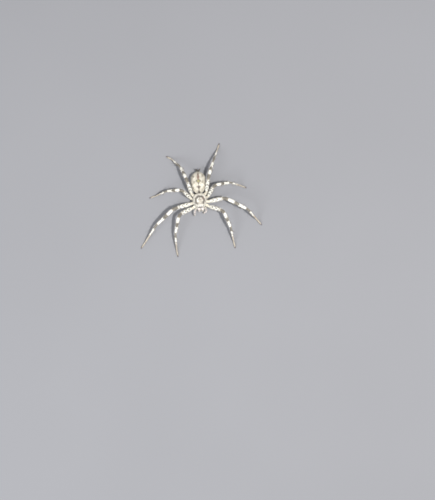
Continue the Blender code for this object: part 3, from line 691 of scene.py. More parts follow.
def frame_shift():
    """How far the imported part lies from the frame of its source, in millimetres."""
    low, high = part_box("sternum")
    middle = np.array(low + high) / (2.0 * MM)
    shift = middle - in_prosoma(0.0, STERNUM_AHEAD, 0.0)
    shift[2] = 0.0
    return shift


SHIFT = frame_shift()


def linear(name):
    """A named colour as linear RGB."""
    code = COLOURS[name]
    channels = np.array([int(code[i : i + 2], 16) / 255 for i in (1, 3, 5)])
    return np.where(channels <= 0.04045, channels / 12.92, ((channels + 0.055) / 1.055) ** 2.4)


def mix(base, name, amount):
    """Linear RGB moved towards a named colour by an amount from 0 to 1."""
    amount = np.clip(amount, 0.0, 1.0)[..., None]
    return base * (1.0 - amount) + linear(name) * amount


def read_off(position, places, rows):
    """The rows of a table at positions between its places."""
    return np.stack([np.interp(position, places, column) for column in np.transpose(rows)], axis=-1)


def value_at(position, table):
    """The value at positions along a table of (position, value)."""
    return np.interp(position, *zip(*table))


def banded(bands, position):
    """Linear RGB at a position along a table of (position, colour name)."""
    places = [place for place, _ in bands]
    colours = np.array([linear(name) for _, name in bands])
    return read_off(position, places, colours)


def blot(across, along, half_across, half_along, edge):
    """1 inside an oval spot round the origin, fading to 0 at its rim; the edge says how sharply."""
    reach = np.sqrt((across / half_across) ** 2 + (along / half_along) ** 2)
    return np.clip((1.0 - reach) * edge + 0.5, 0.0, 1.0)


def ramp(values, start, end):
    """0 as far as start, 1 from end on, and even between them, whichever of the two is greater."""
    return np.clip((values - start) / (end - start), 0.0, 1.0)


def stripe(values, half_width):
    """1 where values are zero, falling evenly to 0 at a half width on both sides."""
    return np.clip(1.0 - np.abs(values) / half_width, 0.0, 1.0)


def hill(values, width, power=2):
    """1 where values are zero, falling softly towards 0 beyond a width on both sides."""
    return np.exp(-((np.abs(values) / width) ** power))


def unit(vectors):
    """Vectors made one long."""
    return vectors / np.maximum(np.linalg.norm(vectors, axis=-1, keepdims=True), 1e-9)


def signed_power(values, power):
    """A power of the values' size that keeps their sign."""
    return np.sign(values) * np.abs(values) ** power


def smoothed(rows, reach):
    """Rows of one value or several, with their corners rounded off over a number of rows."""
    count = int(3 * reach)
    kernel = np.exp(-0.5 * (np.arange(-count, count + 1) / reach) ** 2)
    kernel /= kernel.sum()
    steps = np.arange(count, 0, -1)
    before = rows[0] - np.multiply.outer(steps, rows[1] - rows[0])
    after = rows[-1] + np.multiply.outer(steps[::-1], rows[-1] - rows[-2])
    padded = np.concatenate((before, rows, after))
    return np.apply_along_axis(np.convolve, 0, padded, kernel, "valid")


def distance_along(points):
    """The length of a chain of points as far as each of them."""
    steps = np.linalg.norm(np.diff(points, axis=0), axis=1)
    return np.concatenate(([0.0], steps.cumsum()))


def furrow(across, along, shape):
    """How deep a straight furrow is, from its depth, middle, half width and half length."""
    depth, middle, half_width, half_length = shape
    return depth * hill(across, half_width) * hill(along - middle, half_length, 4)


def ring_angles(sides):
    """The angles of the points of one ring."""
    return np.linspace(0.0, math.tau, sides, endpoint=False)


def rings_round(centres, tangents, half_widths, rises, drops, sides, power=1.0, upright=UP):
    """A grid of points: rings of an oval cross-section round a line."""
    across = unit(np.cross(tangents, upright))
    above = np.cross(across, tangents)
    angles = ring_angles(sides)
    sideways = half_widths[:, None] * signed_power(np.cos(angles), power)
    sines = signed_power(np.sin(angles), power)
    heights = np.where(sines > 0.0, rises[:, None], drops[:, None]) * sines
    offsets = across[:, None] * sideways[..., None] + above[:, None] * heights[..., None]
    return centres[:, None] + offsets


def swept(centres, half_widths, sides):
    """A grid of points round a short curve of any direction, a steep one included."""
    tangents = unit(np.gradient(centres, axis=0))
    upright = UP if abs(tangents[:, 2]).max() < STEEP else heading(0.0)
    return rings_round(centres, tangents, half_widths, half_widths, half_widths, sides, upright=upright)


def plain_surface(points, colours):
    """A surface coloured along its length from the first to the last of two named colours."""
    share = np.linspace(0.0, 1.0, points.shape[0])[:, None, None]
    tint = linear(colours[0]) * (1.0 - share) + linear(colours[1]) * share
    return Surface(points, np.broadcast_to(tint, points.shape), points)


def grid_normals(points):
    """The direction out of the surface at each point of a grid."""
    along = np.gradient(points, axis=0)
    around = np.roll(points, -1, axis=1) - np.roll(points, 1, axis=1)
    return unit(np.cross(along, around))


def closed_faces(rings, sides, offset):
    """Corner numbers of the faces of a grid that is closed by a fan at each end."""
    index = np.arange(rings * sides).reshape(rings, sides) + offset
    beside = np.roll(index, -1, axis=1)
    quads = np.stack((index[:-1], index[1:], beside[1:], beside[:-1]), axis=-1).reshape(-1, 4)
    start = np.full(sides, offset + rings * sides)
    fans = np.concatenate(
        (
            np.stack((start, index[0], beside[0]), axis=-1),
            np.stack((start + 1, beside[-1], index[-1]), axis=-1),
        )
    )
    return quads.tolist() + fans.tolist()


def flattened(values):
    """A grid's values as one list of rows, with the middles of its two ends added."""
    rows = values.reshape(-1, values.shape[-1])
    return np.concatenate((rows, [values[0].mean(axis=0), values[-1].mean(axis=0)]))


def new_mesh(name, points, faces):
    """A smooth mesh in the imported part's frame, with nothing below the floor."""
    placed = points + SHIFT
    placed[:, 2] = np.maximum(placed[:, 2], 0.0)
    mesh = bpy.data.meshes.new(name)
    mesh.from_pydata(placed * MM, [], faces)
    mesh.shade_smooth()
    return mesh


def add_tint(mesh, tint):
    """Stores linear RGB for each vertex, where the materials read it."""
    attribute = mesh.attributes.new("tint", "FLOAT_COLOR", "POINT")
    attribute.data.foreach_set("color", np.c_[tint, np.ones(len(tint))].ravel())


def add_lay(mesh, lay):
    """Stores the lay of the hair for each vertex, which places the streaks."""
    attribute = mesh.attributes.new("lay", "FLOAT_VECTOR", "POINT")
    attribute.data.foreach_set("vector", lay.ravel())


def add_piece(mesh, material, nodes=()):
    """Puts a mesh in the scene as a piece that rides on the spider's one body."""
    mesh.materials.append(material)
    piece = bpy.data.objects.new(mesh.name, mesh)
    bpy.context.scene.collection.objects.link(piece)
    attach(piece, "root")
    if nodes:
        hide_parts(*nodes)


def surface_piece(name, surfaces, material, nodes=()):
    """One piece from several closed surfaces."""
    faces = []
    offset = 0
    for surface in surfaces:
        rings, sides = surface.points.shape[:2]
        faces += closed_faces(rings, sides, offset)
        offset += rings * sides + 2
    points, tint, lay = [np.concatenate([*map(flattened, grids)]) for grids in zip(*surfaces)]
    mesh = new_mesh(name, points, faces)
    add_tint(mesh, tint)
    add_lay(mesh, lay)
    add_piece(mesh, material, nodes)


def scatter(points, weight, count, chance):
    """Random places on a grid, denser by weight: ring, side, and how far beyond both they lie."""
    around = np.roll(points, -1, axis=1) - points
    area = np.linalg.norm(np.cross(np.diff(points, axis=0), around[:-1]), axis=-1) * weight[:-1]
    cells = chance.choice(area.size, size=count, p=(area / area.sum()).ravel())
    ring, side = np.unravel_index(cells, area.shape)
    aside, along = chance.random((2, count))
    return ring, side, aside, along


def blended(grid, ring, side, aside, along):
    """Values of a grid at places inside its cells."""
    beside = (side + 1) % grid.shape[1]
    aside = aside[:, None]
    along = along[:, None]
    near = grid[ring, side] * (1.0 - aside) + grid[ring, beside] * aside
    far = grid[ring + 1, side] * (1.0 - aside) + grid[ring + 1, beside] * aside
    return near * (1.0 - along) + far * along


def grow_hair(surface, coat, chance, weight=None, flow=None, size=None, tint=None):
    """Hairs on a surface: their points, tints and places on the unwrap, seven points to a hair.

    Weight says where they are dense, flow which way they lie, size how long they are, each as a grid.
    """
    points = surface.points
    rings, sides = points.shape[:2]
    weight = np.ones((rings, sides)) if weight is None else weight
    size = np.ones((rings, sides)) if size is None else size
    flow = np.gradient(points, axis=0) if flow is None else flow
    place = scatter(points, weight, coat.count, chance)

    root = blended(points, *place)
    normal = unit(blended(grid_normals(points), *place))
    lie = blended(flow, *place)
    lie = unit(lie - normal * (lie * normal).sum(axis=1, keepdims=True))
    beside = np.cross(normal, lie)
    turn = np.radians(chance.normal(0.0, coat.turn, coat.count))[:, None]
    lie = lie * np.cos(turn) + beside * np.sin(turn)
    beside = np.cross(normal, lie)
    one_each = (coat.count, 1)
    length = coat.length * blended(size[..., None], *place) * chance.uniform(*HAIR_LENGTHS, one_each)
    lift = np.radians(coat.lift) * chance.uniform(*HAIR_LIFTS, one_each)
    middle = root + (lie * np.cos(lift) + normal * np.sin(lift)) * length * 0.5
    lift = lift * HAIR_TIP_LIFT
    tip = middle + (lie * np.cos(lift) + normal * np.sin(lift)) * length * 0.5
    foot = root - normal * HAIR_SUNK

    corners = []
    for centre, width in ((foot, coat.width), (middle, coat.width * HAIR_WAIST)):
        for angle in np.radians(HAIR_CORNERS):
            corners.append(centre + (beside * math.cos(angle) + normal * math.sin(angle)) * width / 2)
    hair_points = np.stack((*corners, tip), axis=1)

    colour = blended(surface.tint, *place) if tint is None else linear(tint)
    colour = colour * chance.uniform(*HAIR_SHADES, one_each)
    hair_tint = np.clip(colour[:, None] * np.reshape(HAIR_POINT_SHADES, (1, -1, 1)), 0.0, 1.0)

    ring, side, aside, along = place
    strip = (ring + along) / (rings - 1) * UNWRAP_STRIPS
    column = np.minimum(np.floor(strip), UNWRAP_STRIPS - 1)
    unwrap = np.stack(((column + (side + aside) / sides) / UNWRAP_STRIPS, strip - column), axis=-1)
    return hair_points, hair_tint, unwrap


def hair_piece(name, growths, material):
    """One coat piece from several lots of hair, each with its own column of the unwrap."""
    points, tints, unwraps = zip(*growths)
    points = np.concatenate(points).reshape(-1, 3)
    starts = np.arange(0, len(points), len(HAIR_PATCH))
    faces = []
    for corners in HAIR_FACES:
        faces += (starts[:, None] + np.array(corners)).tolist()
    mesh = new_mesh(name, points, faces)
    add_tint(mesh, np.concatenate(tints).reshape(-1, 3))
    columns = []
    for number, unwrap in enumerate(unwraps):
        columns.append(np.c_[(number + unwrap[:, 0]) / len(growths), unwrap[:, 1]])
    middles = np.concatenate(columns) * (1.0 - PATCH) + PATCH / 2
    unwrapped = (middles[:, None] + HAIR_PATCH * PATCH).reshape(-1, 2)
    corner_numbers = np.zeros(len(mesh.loops), np.int32)
    mesh.loops.foreach_get("vertex_index", corner_numbers)
    layer = mesh.uv_layers.new(name="OFBake")
    layer.data.foreach_set("uv", unwrapped[corner_numbers].ravel())
    add_piece(mesh, material)


def add_node(tree, kind, settings=(), inputs=()):
    """Adds a node, sets its settings, and gives its inputs a value or a link from (node, output)."""
    node = tree.nodes.new(kind)
    for name, value in dict(settings).items():
        setattr(node, name, value)
    for name, value in dict(inputs).items():
        if isinstance(value, tuple) and isinstance(value[0], bpy.types.Node):
            tree.links.new(value[0].outputs[value[1]], node.inputs[name])
        else:
            node.inputs[name].default_value = value
    return node


def new_material(name, sockets):
    """A material with constant values set on its shader, and the tree and shader to add to."""
    material = bpy.data.materials.new(name)
    material.use_nodes = True
    tree = material.node_tree
    shader = tree.nodes["Principled BSDF"]
    for socket, value in sockets.items():
        shader.inputs[socket].default_value = value
    return material, tree, shader


def link_mottled_tint(tree, shader, sizes, low, high):
    """Colours a shader with the stored tint, lighter and darker in patches of the given sizes."""
    tint = add_node(tree, "ShaderNodeAttribute", {"attribute_name": "tint"})
    place = add_node(tree, "ShaderNodeTexCoord")
    factor = 1.0
    for size in sizes:
        patches = {
            "Vector": (place, "Object"),
            "Scale": 1.0 / (size * MM),
            "Detail": 3.0,
            "Roughness": 0.6,
        }
        noise = add_node(tree, "ShaderNodeTexNoise", inputs=patches)
        limits = {
            "Value": (noise, "Fac"),
            "From Min": 0.3,
            "From Max": 0.7,
            "To Min": low,
            "To Max": high,
        }
        spread = add_node(tree, "ShaderNodeMapRange", inputs=limits)
        both = {0: factor, 1: (spread, "Result")}
        factor = (add_node(tree, "ShaderNodeMath", {"operation": "MULTIPLY"}, both), "Value")
    whole = {"Vector": (tint, "Color"), "Scale": factor}
    scaled = add_node(tree, "ShaderNodeVectorMath", {"operation": "SCALE"}, whole)
    tree.links.new(scaled.outputs["Vector"], shader.inputs["Base Color"])


def link_clouds(tree, shader, size, detail, names):
    """Colours a shader in clouds of a given size, between two named colours."""
    place = add_node(tree, "ShaderNodeTexCoord")
    patches = {"Vector": (place, "Object"), "Scale": 1.0 / (size * MM), "Detail": detail}
    noise = add_node(tree, "ShaderNodeTexNoise", inputs=patches)
    shades = add_node(tree, "ShaderNodeValToRGB", inputs={"Fac": (noise, "Fac")})
    for element, name in zip(shades.color_ramp.elements, names):
        element.color = (*linear(name), 1.0)
    tree.links.new(shades.outputs["Color"], shader.inputs["Base Color"])


def skin_material(name, roughness, streak_width, streak_depth):
    """Cuticle under flat, short hair: dull, with a faint bloom and streaks along the hair.

    A streak is as wide as a tuft of hairs, because one hair is too fine to show.
    """
    sockets = {
        "IOR": CUTICLE_IOR,
        "Roughness": roughness,
        "Specular IOR Level": 0.35,
        "Sheen Weight": 0.18,
        "Sheen Roughness": 0.5,
    }
    material, tree, shader = new_material(name, sockets)
    link_mottled_tint(tree, shader, MOTTLE_SIZES, low=0.88, high=1.08)
    lay = add_node(tree, "ShaderNodeAttribute", {"attribute_name": "lay"})
    grain = {"Vector": (lay, "Vector"), "Scale": 1.0 / streak_width, "Detail": 4.0, "Roughness": 0.65}
    streaks = add_node(tree, "ShaderNodeTexNoise", inputs=grain)
    relief = {"Height": (streaks, "Fac"), "Strength": 0.7, "Distance": streak_depth * MM}
    bump = add_node(tree, "ShaderNodeBump", inputs=relief)
    tree.links.new(bump.outputs["Normal"], shader.inputs["Normal"])
    return material


def hair_material(name, roughness):
    """Fine, dry hair: soft light along it and a faint bloom, in the tint of the skin at its root."""
    sockets = {
        "IOR": HAIR_IOR,
        "Roughness": roughness,
        "Specular IOR Level": 0.3,
        "Sheen Weight": 0.15,
        "Sheen Roughness": 0.45,
    }
    material, tree, shader = new_material(name, sockets)
    link_mottled_tint(tree, shader, MOTTLE_SIZES, low=0.90, high=1.08)
    return material


def horn_material(name, roughness, coat):
    """Hard, tanned cuticle of spines, claws and fangs: smooth, with sharp small highlights."""
    sockets = {"IOR": CUTICLE_IOR, "Roughness": roughness, "Coat Weight": coat, "Coat Roughness": 0.12}
    material, tree, shader = new_material(name, sockets)
    link_mottled_tint(tree, shader, HORN_GRAIN_SIZES, low=0.9, high=1.1)
    return material


def eye_material():
    """A wet-looking black lens: mirror-smooth, with a hint of brown depth."""
    sockets = {"IOR": LENS_IOR, "Roughness": 0.06, "Coat Weight": 1.0, "Coat Roughness": 0.03}
    material, tree, shader = new_material("glossy_black_eye", sockets)
    link_clouds(tree, shader, EYE_DEPTH_SIZE, detail=1.0, names=("pupil", "iris"))
    return material


def floor_material():
    """Matt pale card: no shine, and a cloudiness too faint to notice."""
    material, tree, shader = new_material("pale_card", {"Roughness": 0.9, "Specular IOR Level": 0.2})
    link_clouds(tree, shader, CARD_CLOUD_SIZE, detail=2.0, names=("card_dark", "card_pale"))
    return material


def limb_line(joints, bows, profiles, size, creases):
    """A chain of lengths as one line with rounded corners, and the skin's half thickness along it."""
    centres = []
    position = []
    for number, (start, end, bow) in enumerate(zip(joints, joints[1:], bows)):
        share = np.arange(0.0, 1.0, FINE_STEP / np.linalg.norm(end - start))[:, None]
        centres.append(start + (end - start) * share + UP * (4.0 * bow * share * (1.0 - share)))
        position.append(number + share[:, 0])
    centres = np.concatenate((*centres, [joints[-1]]))
    position = np.append(np.concatenate(position), len(joints) - 1)
    centres = smoothed(centres, JOINT_ROUND / FINE_STEP)

    knots = []
    for number, profile in enumerate(profiles):
        knots += [(number + share, width) for share, width in profile]
    half_width = smoothed(size * value_at(position, knots) - COAT_DEPTH, LIMB_ROUND)
    for number, depth in enumerate(creases):
        joint = np.searchsorted(position, number + 1)
        away = (np.arange(len(position)) - joint) * FINE_STEP
        half_width *= 1.0 - depth * hill(away, CREASE_WIDTH)
    tangent = unit(np.gradient(centres, axis=0))
    return Line(position, centres, tangent, np.maximum(half_width, LIMB_LEAST))


def every_ring(line):
    """The line's rows that get a ring, the last one included."""
    rows = np.arange(0, len(line.position) - 1, RINGS_EVERY)
    rows = np.append(rows, len(line.position) - 1)
    return Line(*[values[rows] for values in line])


def joint_effect(line, amount, reach):
    """For each ring of a limb, an amount at a joint and close to 0 beyond a reach from it."""
    distance = distance_along(line.centre)
    joints = np.interp(np.arange(1, round(line.position[-1])), line.position, distance)
    away = np.abs(distance[:, None] - joints).min(axis=1)
    return amount * hill(away, reach)[:, None]


def leg_bands(number):
    """The bands of colour along a leg of one pair."""
    shift = METATARSUS_SHIFT[number]
    return [(place + shift * (METATARSUS < place < METATARSUS + 1), name) for place, name in LEG_BANDS]


def limb_surface(line, bands, dots):
    """The skin of a limb, with bands of colour along it and a dark dot at each spine's root."""
    thin = every_ring(line)
    width = thin.half_width
    points = rings_round(thin.centre, thin.tangent, width, width, width, LEG_SIDES)
    angles = ring_angles(LEG_SIDES)[None, :]
    position = thin.position[:, None]
    waves = sum(size * np.sin(times * angles + turn * position) for size, times, turn in BAND_WAVES)
    tint = banded(bands, position + waves)
    tint = mix(tint, "brown", joint_effect(thin, *JOINT_BROWN))
    for place, angle, radius in dots:
        row = np.searchsorted(thin.position, place)
        turned = (angles - math.radians(angle) + math.pi) % math.tau - math.pi
        away = np.linalg.norm(thin.centre - thin.centre[row], axis=1)[:, None]
        dot = blot(turned * width[:, None], away, radius, radius, DOT_EDGE)
        tint = mix(tint, "dot", DOT_AMOUNT * dot)
    around = LIMB_LAY_RADIUS * np.cos(angles), LIMB_LAY_RADIUS * np.sin(angles)
    lay = np.broadcast_arrays(*around, LIMB_LAY_SQUEEZE * distance_along(thin.centre)[:, None])
    return Surface(points, tint, np.stack(lay, axis=-1))


def coxa_root(degrees):
    """Where a coxa begins, just inside the sternum's edge, at an angle from the sternum's front."""
    angle = math.radians(degrees)
    left = (STERNUM_HALF_WIDTH - COXA_SUNK) * math.sin(angle)
    ahead = STERNUM_AHEAD + (STERNUM_HALF_LENGTH - COXA_SUNK) * math.cos(angle)
    return left, ahead, COXA_HEIGHT


def leg_joints(name):
    """The joints of a leg: inside the hub, at the coxa's end, the trochanter's, and on to the tip."""
    _, number, side = name.split("_")
    angle, left, ahead = COXAE[int(number)]
    coxa = (coxa_root(angle), (left, ahead, COXA_HEIGHT))
    joints = places_in_prosoma(dict(SIDES)[side], coxa)
    plan = LEG_PLANS[name]
    joints.append(joints[-1] + heading(plan[0][0]) * TROCHANTER_LENGTH + UP * TROCHANTER_RISE)
    for degrees, length, height in plan:
        reached = joints[-1] + heading(degrees) * length
        reached[2] = height
        joints.append(reached)
    return joints


def spot_on(line, position):
    """Centre, tangent and half thickness of a limb at a position along it."""
    centre = read_off(position, line.position, line.centre)
    tangent = unit(read_off(position, line.position, line.tangent))
    return centre, tangent, np.interp(position, line.position, line.half_width)


def stiff_hair_places(seed, rows, length, lengths, spread):
    """Where stiff hairs of one kind stand on a leg: position along it, angle in degrees, length."""
    chance = random.Random(seed)
    places = []
    for number, rows_of_angles in rows:
        for angle, shares in rows_of_angles:
            for share in shares:
                place = number + share + chance.uniform(-SPINE_SHIFT, SPINE_SHIFT)
                drawn = length * chance.uniform(*lengths)
                places.append((place, angle + chance.uniform(-spread, spread), drawn))
    return places


def curve_from(root, aims, length):
    """Points of a curve that leaves its root along a row of directions."""
    steps = np.vstack((np.zeros(3), aims[:-1] * length / (len(aims) - 1)))
    return root + np.cumsum(steps, axis=0)


def thorn_surface(centres, half_width, taper, sides, colours):
    """A spine, claw or fang round a curve, pointed at the curve's end."""
    narrowing, power = taper
    share = np.linspace(0.0, 1.0, len(centres))
    widths = half_width * (1.0 - narrowing * share**power)
    return plain_surface(swept(centres, widths, sides), colours)


def spine_surface(line, position, degrees, length):
    """One spine: a fine curved taper that leans towards the foot."""
    centre, tangent, half_width = spot_on(line, position)
    across = unit(np.cross(tangent, UP))
    above = np.cross(across, tangent)
    outwards = across * math.cos(math.radians(degrees)) + above * math.sin(math.radians(degrees))
    lean = np.radians(np.linspace(*SPINE_LEANS, SPINE_RINGS))[:, None]
    aims = outwards * np.cos(lean) + tangent * np.sin(lean)
    centres = curve_from(centre + outwards * (half_width - SPINE_SUNK), aims, length + SPINE_BURIED)
    thickness = SPINE_HALF_WIDTH * (SPINE_LEAST + (1.0 - SPINE_LEAST) * length / SPINE_LENGTH)
    return thorn_surface(centres, thickness, SPINE_TAPER, SPINE_SIDES, ("spine_root", "spine"))


def claw_surface(tip, aim, side):
    """One hooked claw at the end of a foot."""
    across = np.cross(aim, UP) * side
    corners = [
        tip + aim * (CLAW_LENGTH * ahead) + across * aside + UP * height
        for ahead, aside, height in CLAW_CORNERS
    ]
    share = np.linspace(0.0, 1.0, SPINE_RINGS)
    weights = [math.comb(3, n) * share**n * (1.0 - share) ** (3 - n) for n in range(4)]
    centres = np.transpose(weights) @ corners
    return thorn_surface(centres, CLAW_HALF_WIDTH, CLAW_TAPER, CLAW_SIDES, ("horn_root", "horn"))


def build_leg(name, finishes):
    """A leg's skin, its coat, its spines and its claws."""
    chance = np.random.default_rng(sum(map(ord, name)) * LEG_SEED_STEP)
    number = int(name.split("_")[1])
    thickness = LEG_THICKNESS[number]
    joints = leg_joints(name)
    line = limb_line(joints, LEG_BOWS, LEG_PROFILES, thickness, LEG_CREASES)
    length = SPINE_LENGTH * thickness
    spines = stiff_hair_places(name, SPINE_ROWS, length, SPINE_LENGTHS, SPINE_SPREAD)
    seed = name + " bristles"
    bristles = stiff_hair_places(seed, BRISTLE_ROWS, BRISTLE_LENGTH, BRISTLE_LENGTHS, BRISTLE_SPREAD)
    dots = [(place, angle, DOT_RADIUS) for place, angle, _ in spines]
    lesser = [place for place in bristles if place[0] < BRISTLE_DOTS_END]
    dots += [(place, angle, BRISTLE_DOT_RADIUS) for place, angle, _ in lesser]
    surface = limb_surface(line, leg_bands(number), dots)
    nodes = [f"{name}_{part}" for part in ("coxa", "femur", "tibia", "tarsus")]
    surface_piece(f"skin_{name}", [surface], finishes["leg"], nodes)

    thin = every_ring(line)
    position = thin.position[:, None]
    below = -np.sin(ring_angles(LEG_SIDES))
    everywhere = np.ones((len(position), LEG_SIDES))
    size = everywhere * value_at(position, LEG_HAIR_SIZES)
    covered = 1.0 - joint_effect(thin, *JOINT_BARE)
    dense = np.maximum(ramp(position, *LEG_COAT_FULL), LEG_COAT_LEAST) * covered / size**LEG_COAT_CLOSER
    beyond_root = everywhere * (position > LEG_FINE_FROM)
    soles = ramp(position, *SOLE_FROM) * ramp(below, *SOLE_FACING) + 1e-6
    coat = grow_hair(surface, LEG_COAT, chance, weight=dense, size=size)
    fine = grow_hair(surface, LEG_FINE_HAIR, chance, weight=beyond_root, size=size, tint="ivory")
    sole = grow_hair(surface, LEG_SOLE_HAIR, chance, weight=soles, tint="umber")
    hair_piece(f"coat_{name}", [coat, fine, sole], finishes["hair"])

    spine_surfaces = [spine_surface(line, *place) for place in spines + bristles]
    surface_piece(f"spines_{name}", spine_surfaces, finishes["spine"])
    aim = heading(LEG_PLANS[name][-1][0])
    claws = [claw_surface(joints[-1], aim, sign) for _, sign in SIDES]
    surface_piece(f"claws_{name}", claws, finishes["horn"])


def carapace_rows():
    """Distance ahead, half width and rise of each ring of the carapace, with rounded ends."""
    stations = np.array(CARAPACE_REAR + CARAPACE_STATIONS + CARAPACE_FACE)
    distance = distance_along(stations)
    dense = np.linspace(0.0, distance[-1], CARAPACE_STEPS)
    rounded = smoothed(read_off(dense, distance, stations), CARAPACE_ROUND)
    rows = np.linspace(0, len(rounded) - 1, CARAPACE_RINGS).astype(int)
    return rounded[rows]


def carapace_top(left, ahead):
    """The height of the plain carapace at a point of its plan."""
    places, half_widths, rises = zip(*CARAPACE_STATIONS)
    half_width = np.interp(ahead, places, half_widths)
    rise = np.interp(ahead, places, rises)
    cosine = (abs(left) / half_width) ** (1.0 / CARAPACE_POWER)
    return MARGIN_HEIGHT + rise * (1.0 - cosine**2) ** (CARAPACE_POWER / 2.0)


def carapace_normal(left, ahead):
    """The direction out of the plain carapace at a point of its plan."""
    reach = SLOPE_REACH
    sideways = (carapace_top(left + reach, ahead) - carapace_top(left - reach, ahead)) / (2 * reach)
    lengthways = (carapace_top(left, ahead + reach) - carapace_top(left, ahead - reach)) / (2 * reach)
    return unit(UP - LEFT * sideways - FORWARD * lengthways)


def eye_places():
    """Each eye's name with its centre and radius."""
    places = {}
    for side, sign in SIDES:
        for name, (left, height, radius) in FRONT_EYES.items():
            centre = in_prosoma(sign * left, FRONT_EYE_AHEAD, MARGIN_HEIGHT + height)
            places[f"eye_front_{name}_{side}"] = (centre - FORWARD * (EYE_SUNK * radius), radius)
        for name, (left, ahead, radius) in REAR_EYES.items():
            surface = in_prosoma(sign * left, ahead, carapace_top(sign * left, ahead))
            normal = carapace_normal(sign * left, ahead)
            places[f"eye_rear_{name}_{side}"] = (surface - normal * (EYE_SUNK * radius), radius)
    return places


def add_marks(tint, left, along, marks):
    """Adds oval marks to a tint, in their order."""
    for mark in marks:
        shape = blot(left - mark.left, along - mark.along, mark.half_left, mark.half_along, mark.edge)
        tint = mix(tint, mark.colour, mark.amount * shape)
    return tint


def mirrored(marks):
    """Marks as they are, each followed by its mirror image."""
    return [mark._replace(left=sign * mark.left) for mark in marks for _, sign in SIDES]


def carapace_colour(left, ahead, height):
    """Ivory, with a brown ring fainter at the front, streaks near the edge and a white brow."""
    tint = np.broadcast_to(linear("ivory"), (*left.shape, 3))
    beyond = np.hypot(left, ahead)
    bearing = np.degrees(np.arctan2(left, ahead))
    tint = add_marks(tint, left, ahead, CARAPACE_MIDDLE)
    shade = ramp(beyond, *SHADE_BEYOND) * ramp(ahead, *SHADE_BEHIND)
    tint = mix(tint, "beige", SHADE_AMOUNT * shade)
    front = np.maximum(ramp(np.abs(bearing), *RING_FULL), RING_LEAST)
    waves = sum(size * np.sin(np.radians(bearing * times + start)) for size, times, start in RING_WAVES)
    from_ring = beyond - RING_RADIUS + waves
    ring = stripe(from_ring, RING_HALF_WIDTH) ** RING_POWER * front
    tint = mix(tint, "umber", RING_AMOUNT * ring)
    core = stripe(from_ring + RING_CORE_INWARDS, RING_CORE_HALF_WIDTH) * front
    tint = mix(tint, "dot", RING_CORE_AMOUNT * core)
    streak = stripe(np.abs(left) - value_at(ahead, STREAK_LINE), STREAK_HALF_WIDTH)
    streak = streak * ramp(ahead, *STREAK_BEGINS) * (ahead < STREAK_ENDS)
    tint = mix(tint, "umber", STREAK_AMOUNT * streak)
    tint = add_marks(tint, left, ahead, mirrored(CARAPACE_PAIRS))
    tint = add_marks(tint, left, ahead, CARAPACE_MARKS)
    edge = ramp(height - MARGIN_HEIGHT, *MARGIN_PALE) * (ahead < MARGIN_PALE_ENDS)
    return mix(tint, "cream", MARGIN_PALE_AMOUNT * edge)


def carapace_dents(left, ahead):
    """How deep the furrow and the fan of grooves are at points of the plan."""
    beyond = np.hypot(left, ahead - GROOVES_MEET)
    bearing = np.degrees(np.arctan2(np.abs(left), ahead - GROOVES_MEET))
    between_ends = ramp(beyond, *GROOVES_BEGIN) * ramp(beyond, *GROOVES_END)
    dent = furrow(left, ahead, CARAPACE_FURROW)
    for groove, depth in GROOVES:
        line = hill(np.radians(bearing - groove) * beyond, GROOVE_WIDTH)
        dent = dent + depth * line * between_ends
    return dent


def build_head(finishes):
    """The carapace with its coat and the raised rims of the eyes, and the eyes."""
    chance = np.random.default_rng(SEEDS["head"])
    ahead, half_width, rise = carapace_rows().T
    centres = FORWARD * ahead[:, None] + UP * MARGIN_HEIGHT
    tangents = np.tile(FORWARD, (CARAPACE_RINGS, 1))
    half_width = half_width - COAT_DEPTH / 2
    rise = rise - COAT_DEPTH / 2
    drops = np.full(CARAPACE_RINGS, EDGE_DEPTH)
    points = rings_round(centres, tangents, half_width, rise, drops, CARAPACE_SIDES, CARAPACE_POWER)
    left = points @ LEFT
    forward = points @ FORWARD
    top = points[..., 2] > MARGIN_HEIGHT
    normals = grid_normals(points)
    points = points - normals * (carapace_dents(left, forward) * top)[..., None]
    eyes = eye_places()
    bare = np.ones(points.shape[:2])
    rim_height, rim_place, rim_width = EYE_RIM
    for centre, radius in eyes.values():
        away = np.linalg.norm(points - centre, axis=-1) - radius
        points = points + normals * (rim_height * hill(away - rim_place, rim_width))[..., None]
        bare *= ramp(away, *EYE_BARE)
    tint = carapace_colour(left, forward, points[..., 2])
    for centre, radius in eyes.values():
        away = np.linalg.norm(points - centre, axis=-1) - radius
        for colour, amount, place in EYE_RINGS_OF_COLOUR:
            tint = mix(tint, colour, amount * stripe(away - place, EYE_RING_HALF_WIDTH))
    lay = np.stack((left, forward * CARAPACE_LAY_SQUEEZE, points[..., 2]), axis=-1)
    surface = Surface(points, tint, lay)
    surface_piece("skin_carapace", [surface], finishes["carapace"], ["carapace"])

    face = ramp(forward, *FACE_BEGINS)[..., None]
    sideways = LEFT * left[..., None]
    flow = (-FORWARD + sideways * CARAPACE_HAIR_SPREAD) * (1.0 - face)
    flow = flow + (-UP + sideways * FACE_HAIR_SPREAD) * face
    size = value_at(forward, CARAPACE_HAIR_SIZES)
    dense = bare * np.where(top, 1.0, UNDER_MARGIN) * (1.0 + FACE_DENSER * face[..., 0])
    coat = grow_hair(surface, CARAPACE_COAT, chance, dense, flow, size)
    size = np.maximum(size, CARAPACE_FINE_LEAST)
    fine = grow_hair(surface, CARAPACE_FINE_HAIR, chance, dense * top, flow, size, "ivory")
    hair_piece("coat_carapace", [coat, fine], finishes["hair"])
    build_eyes(eyes, finishes)


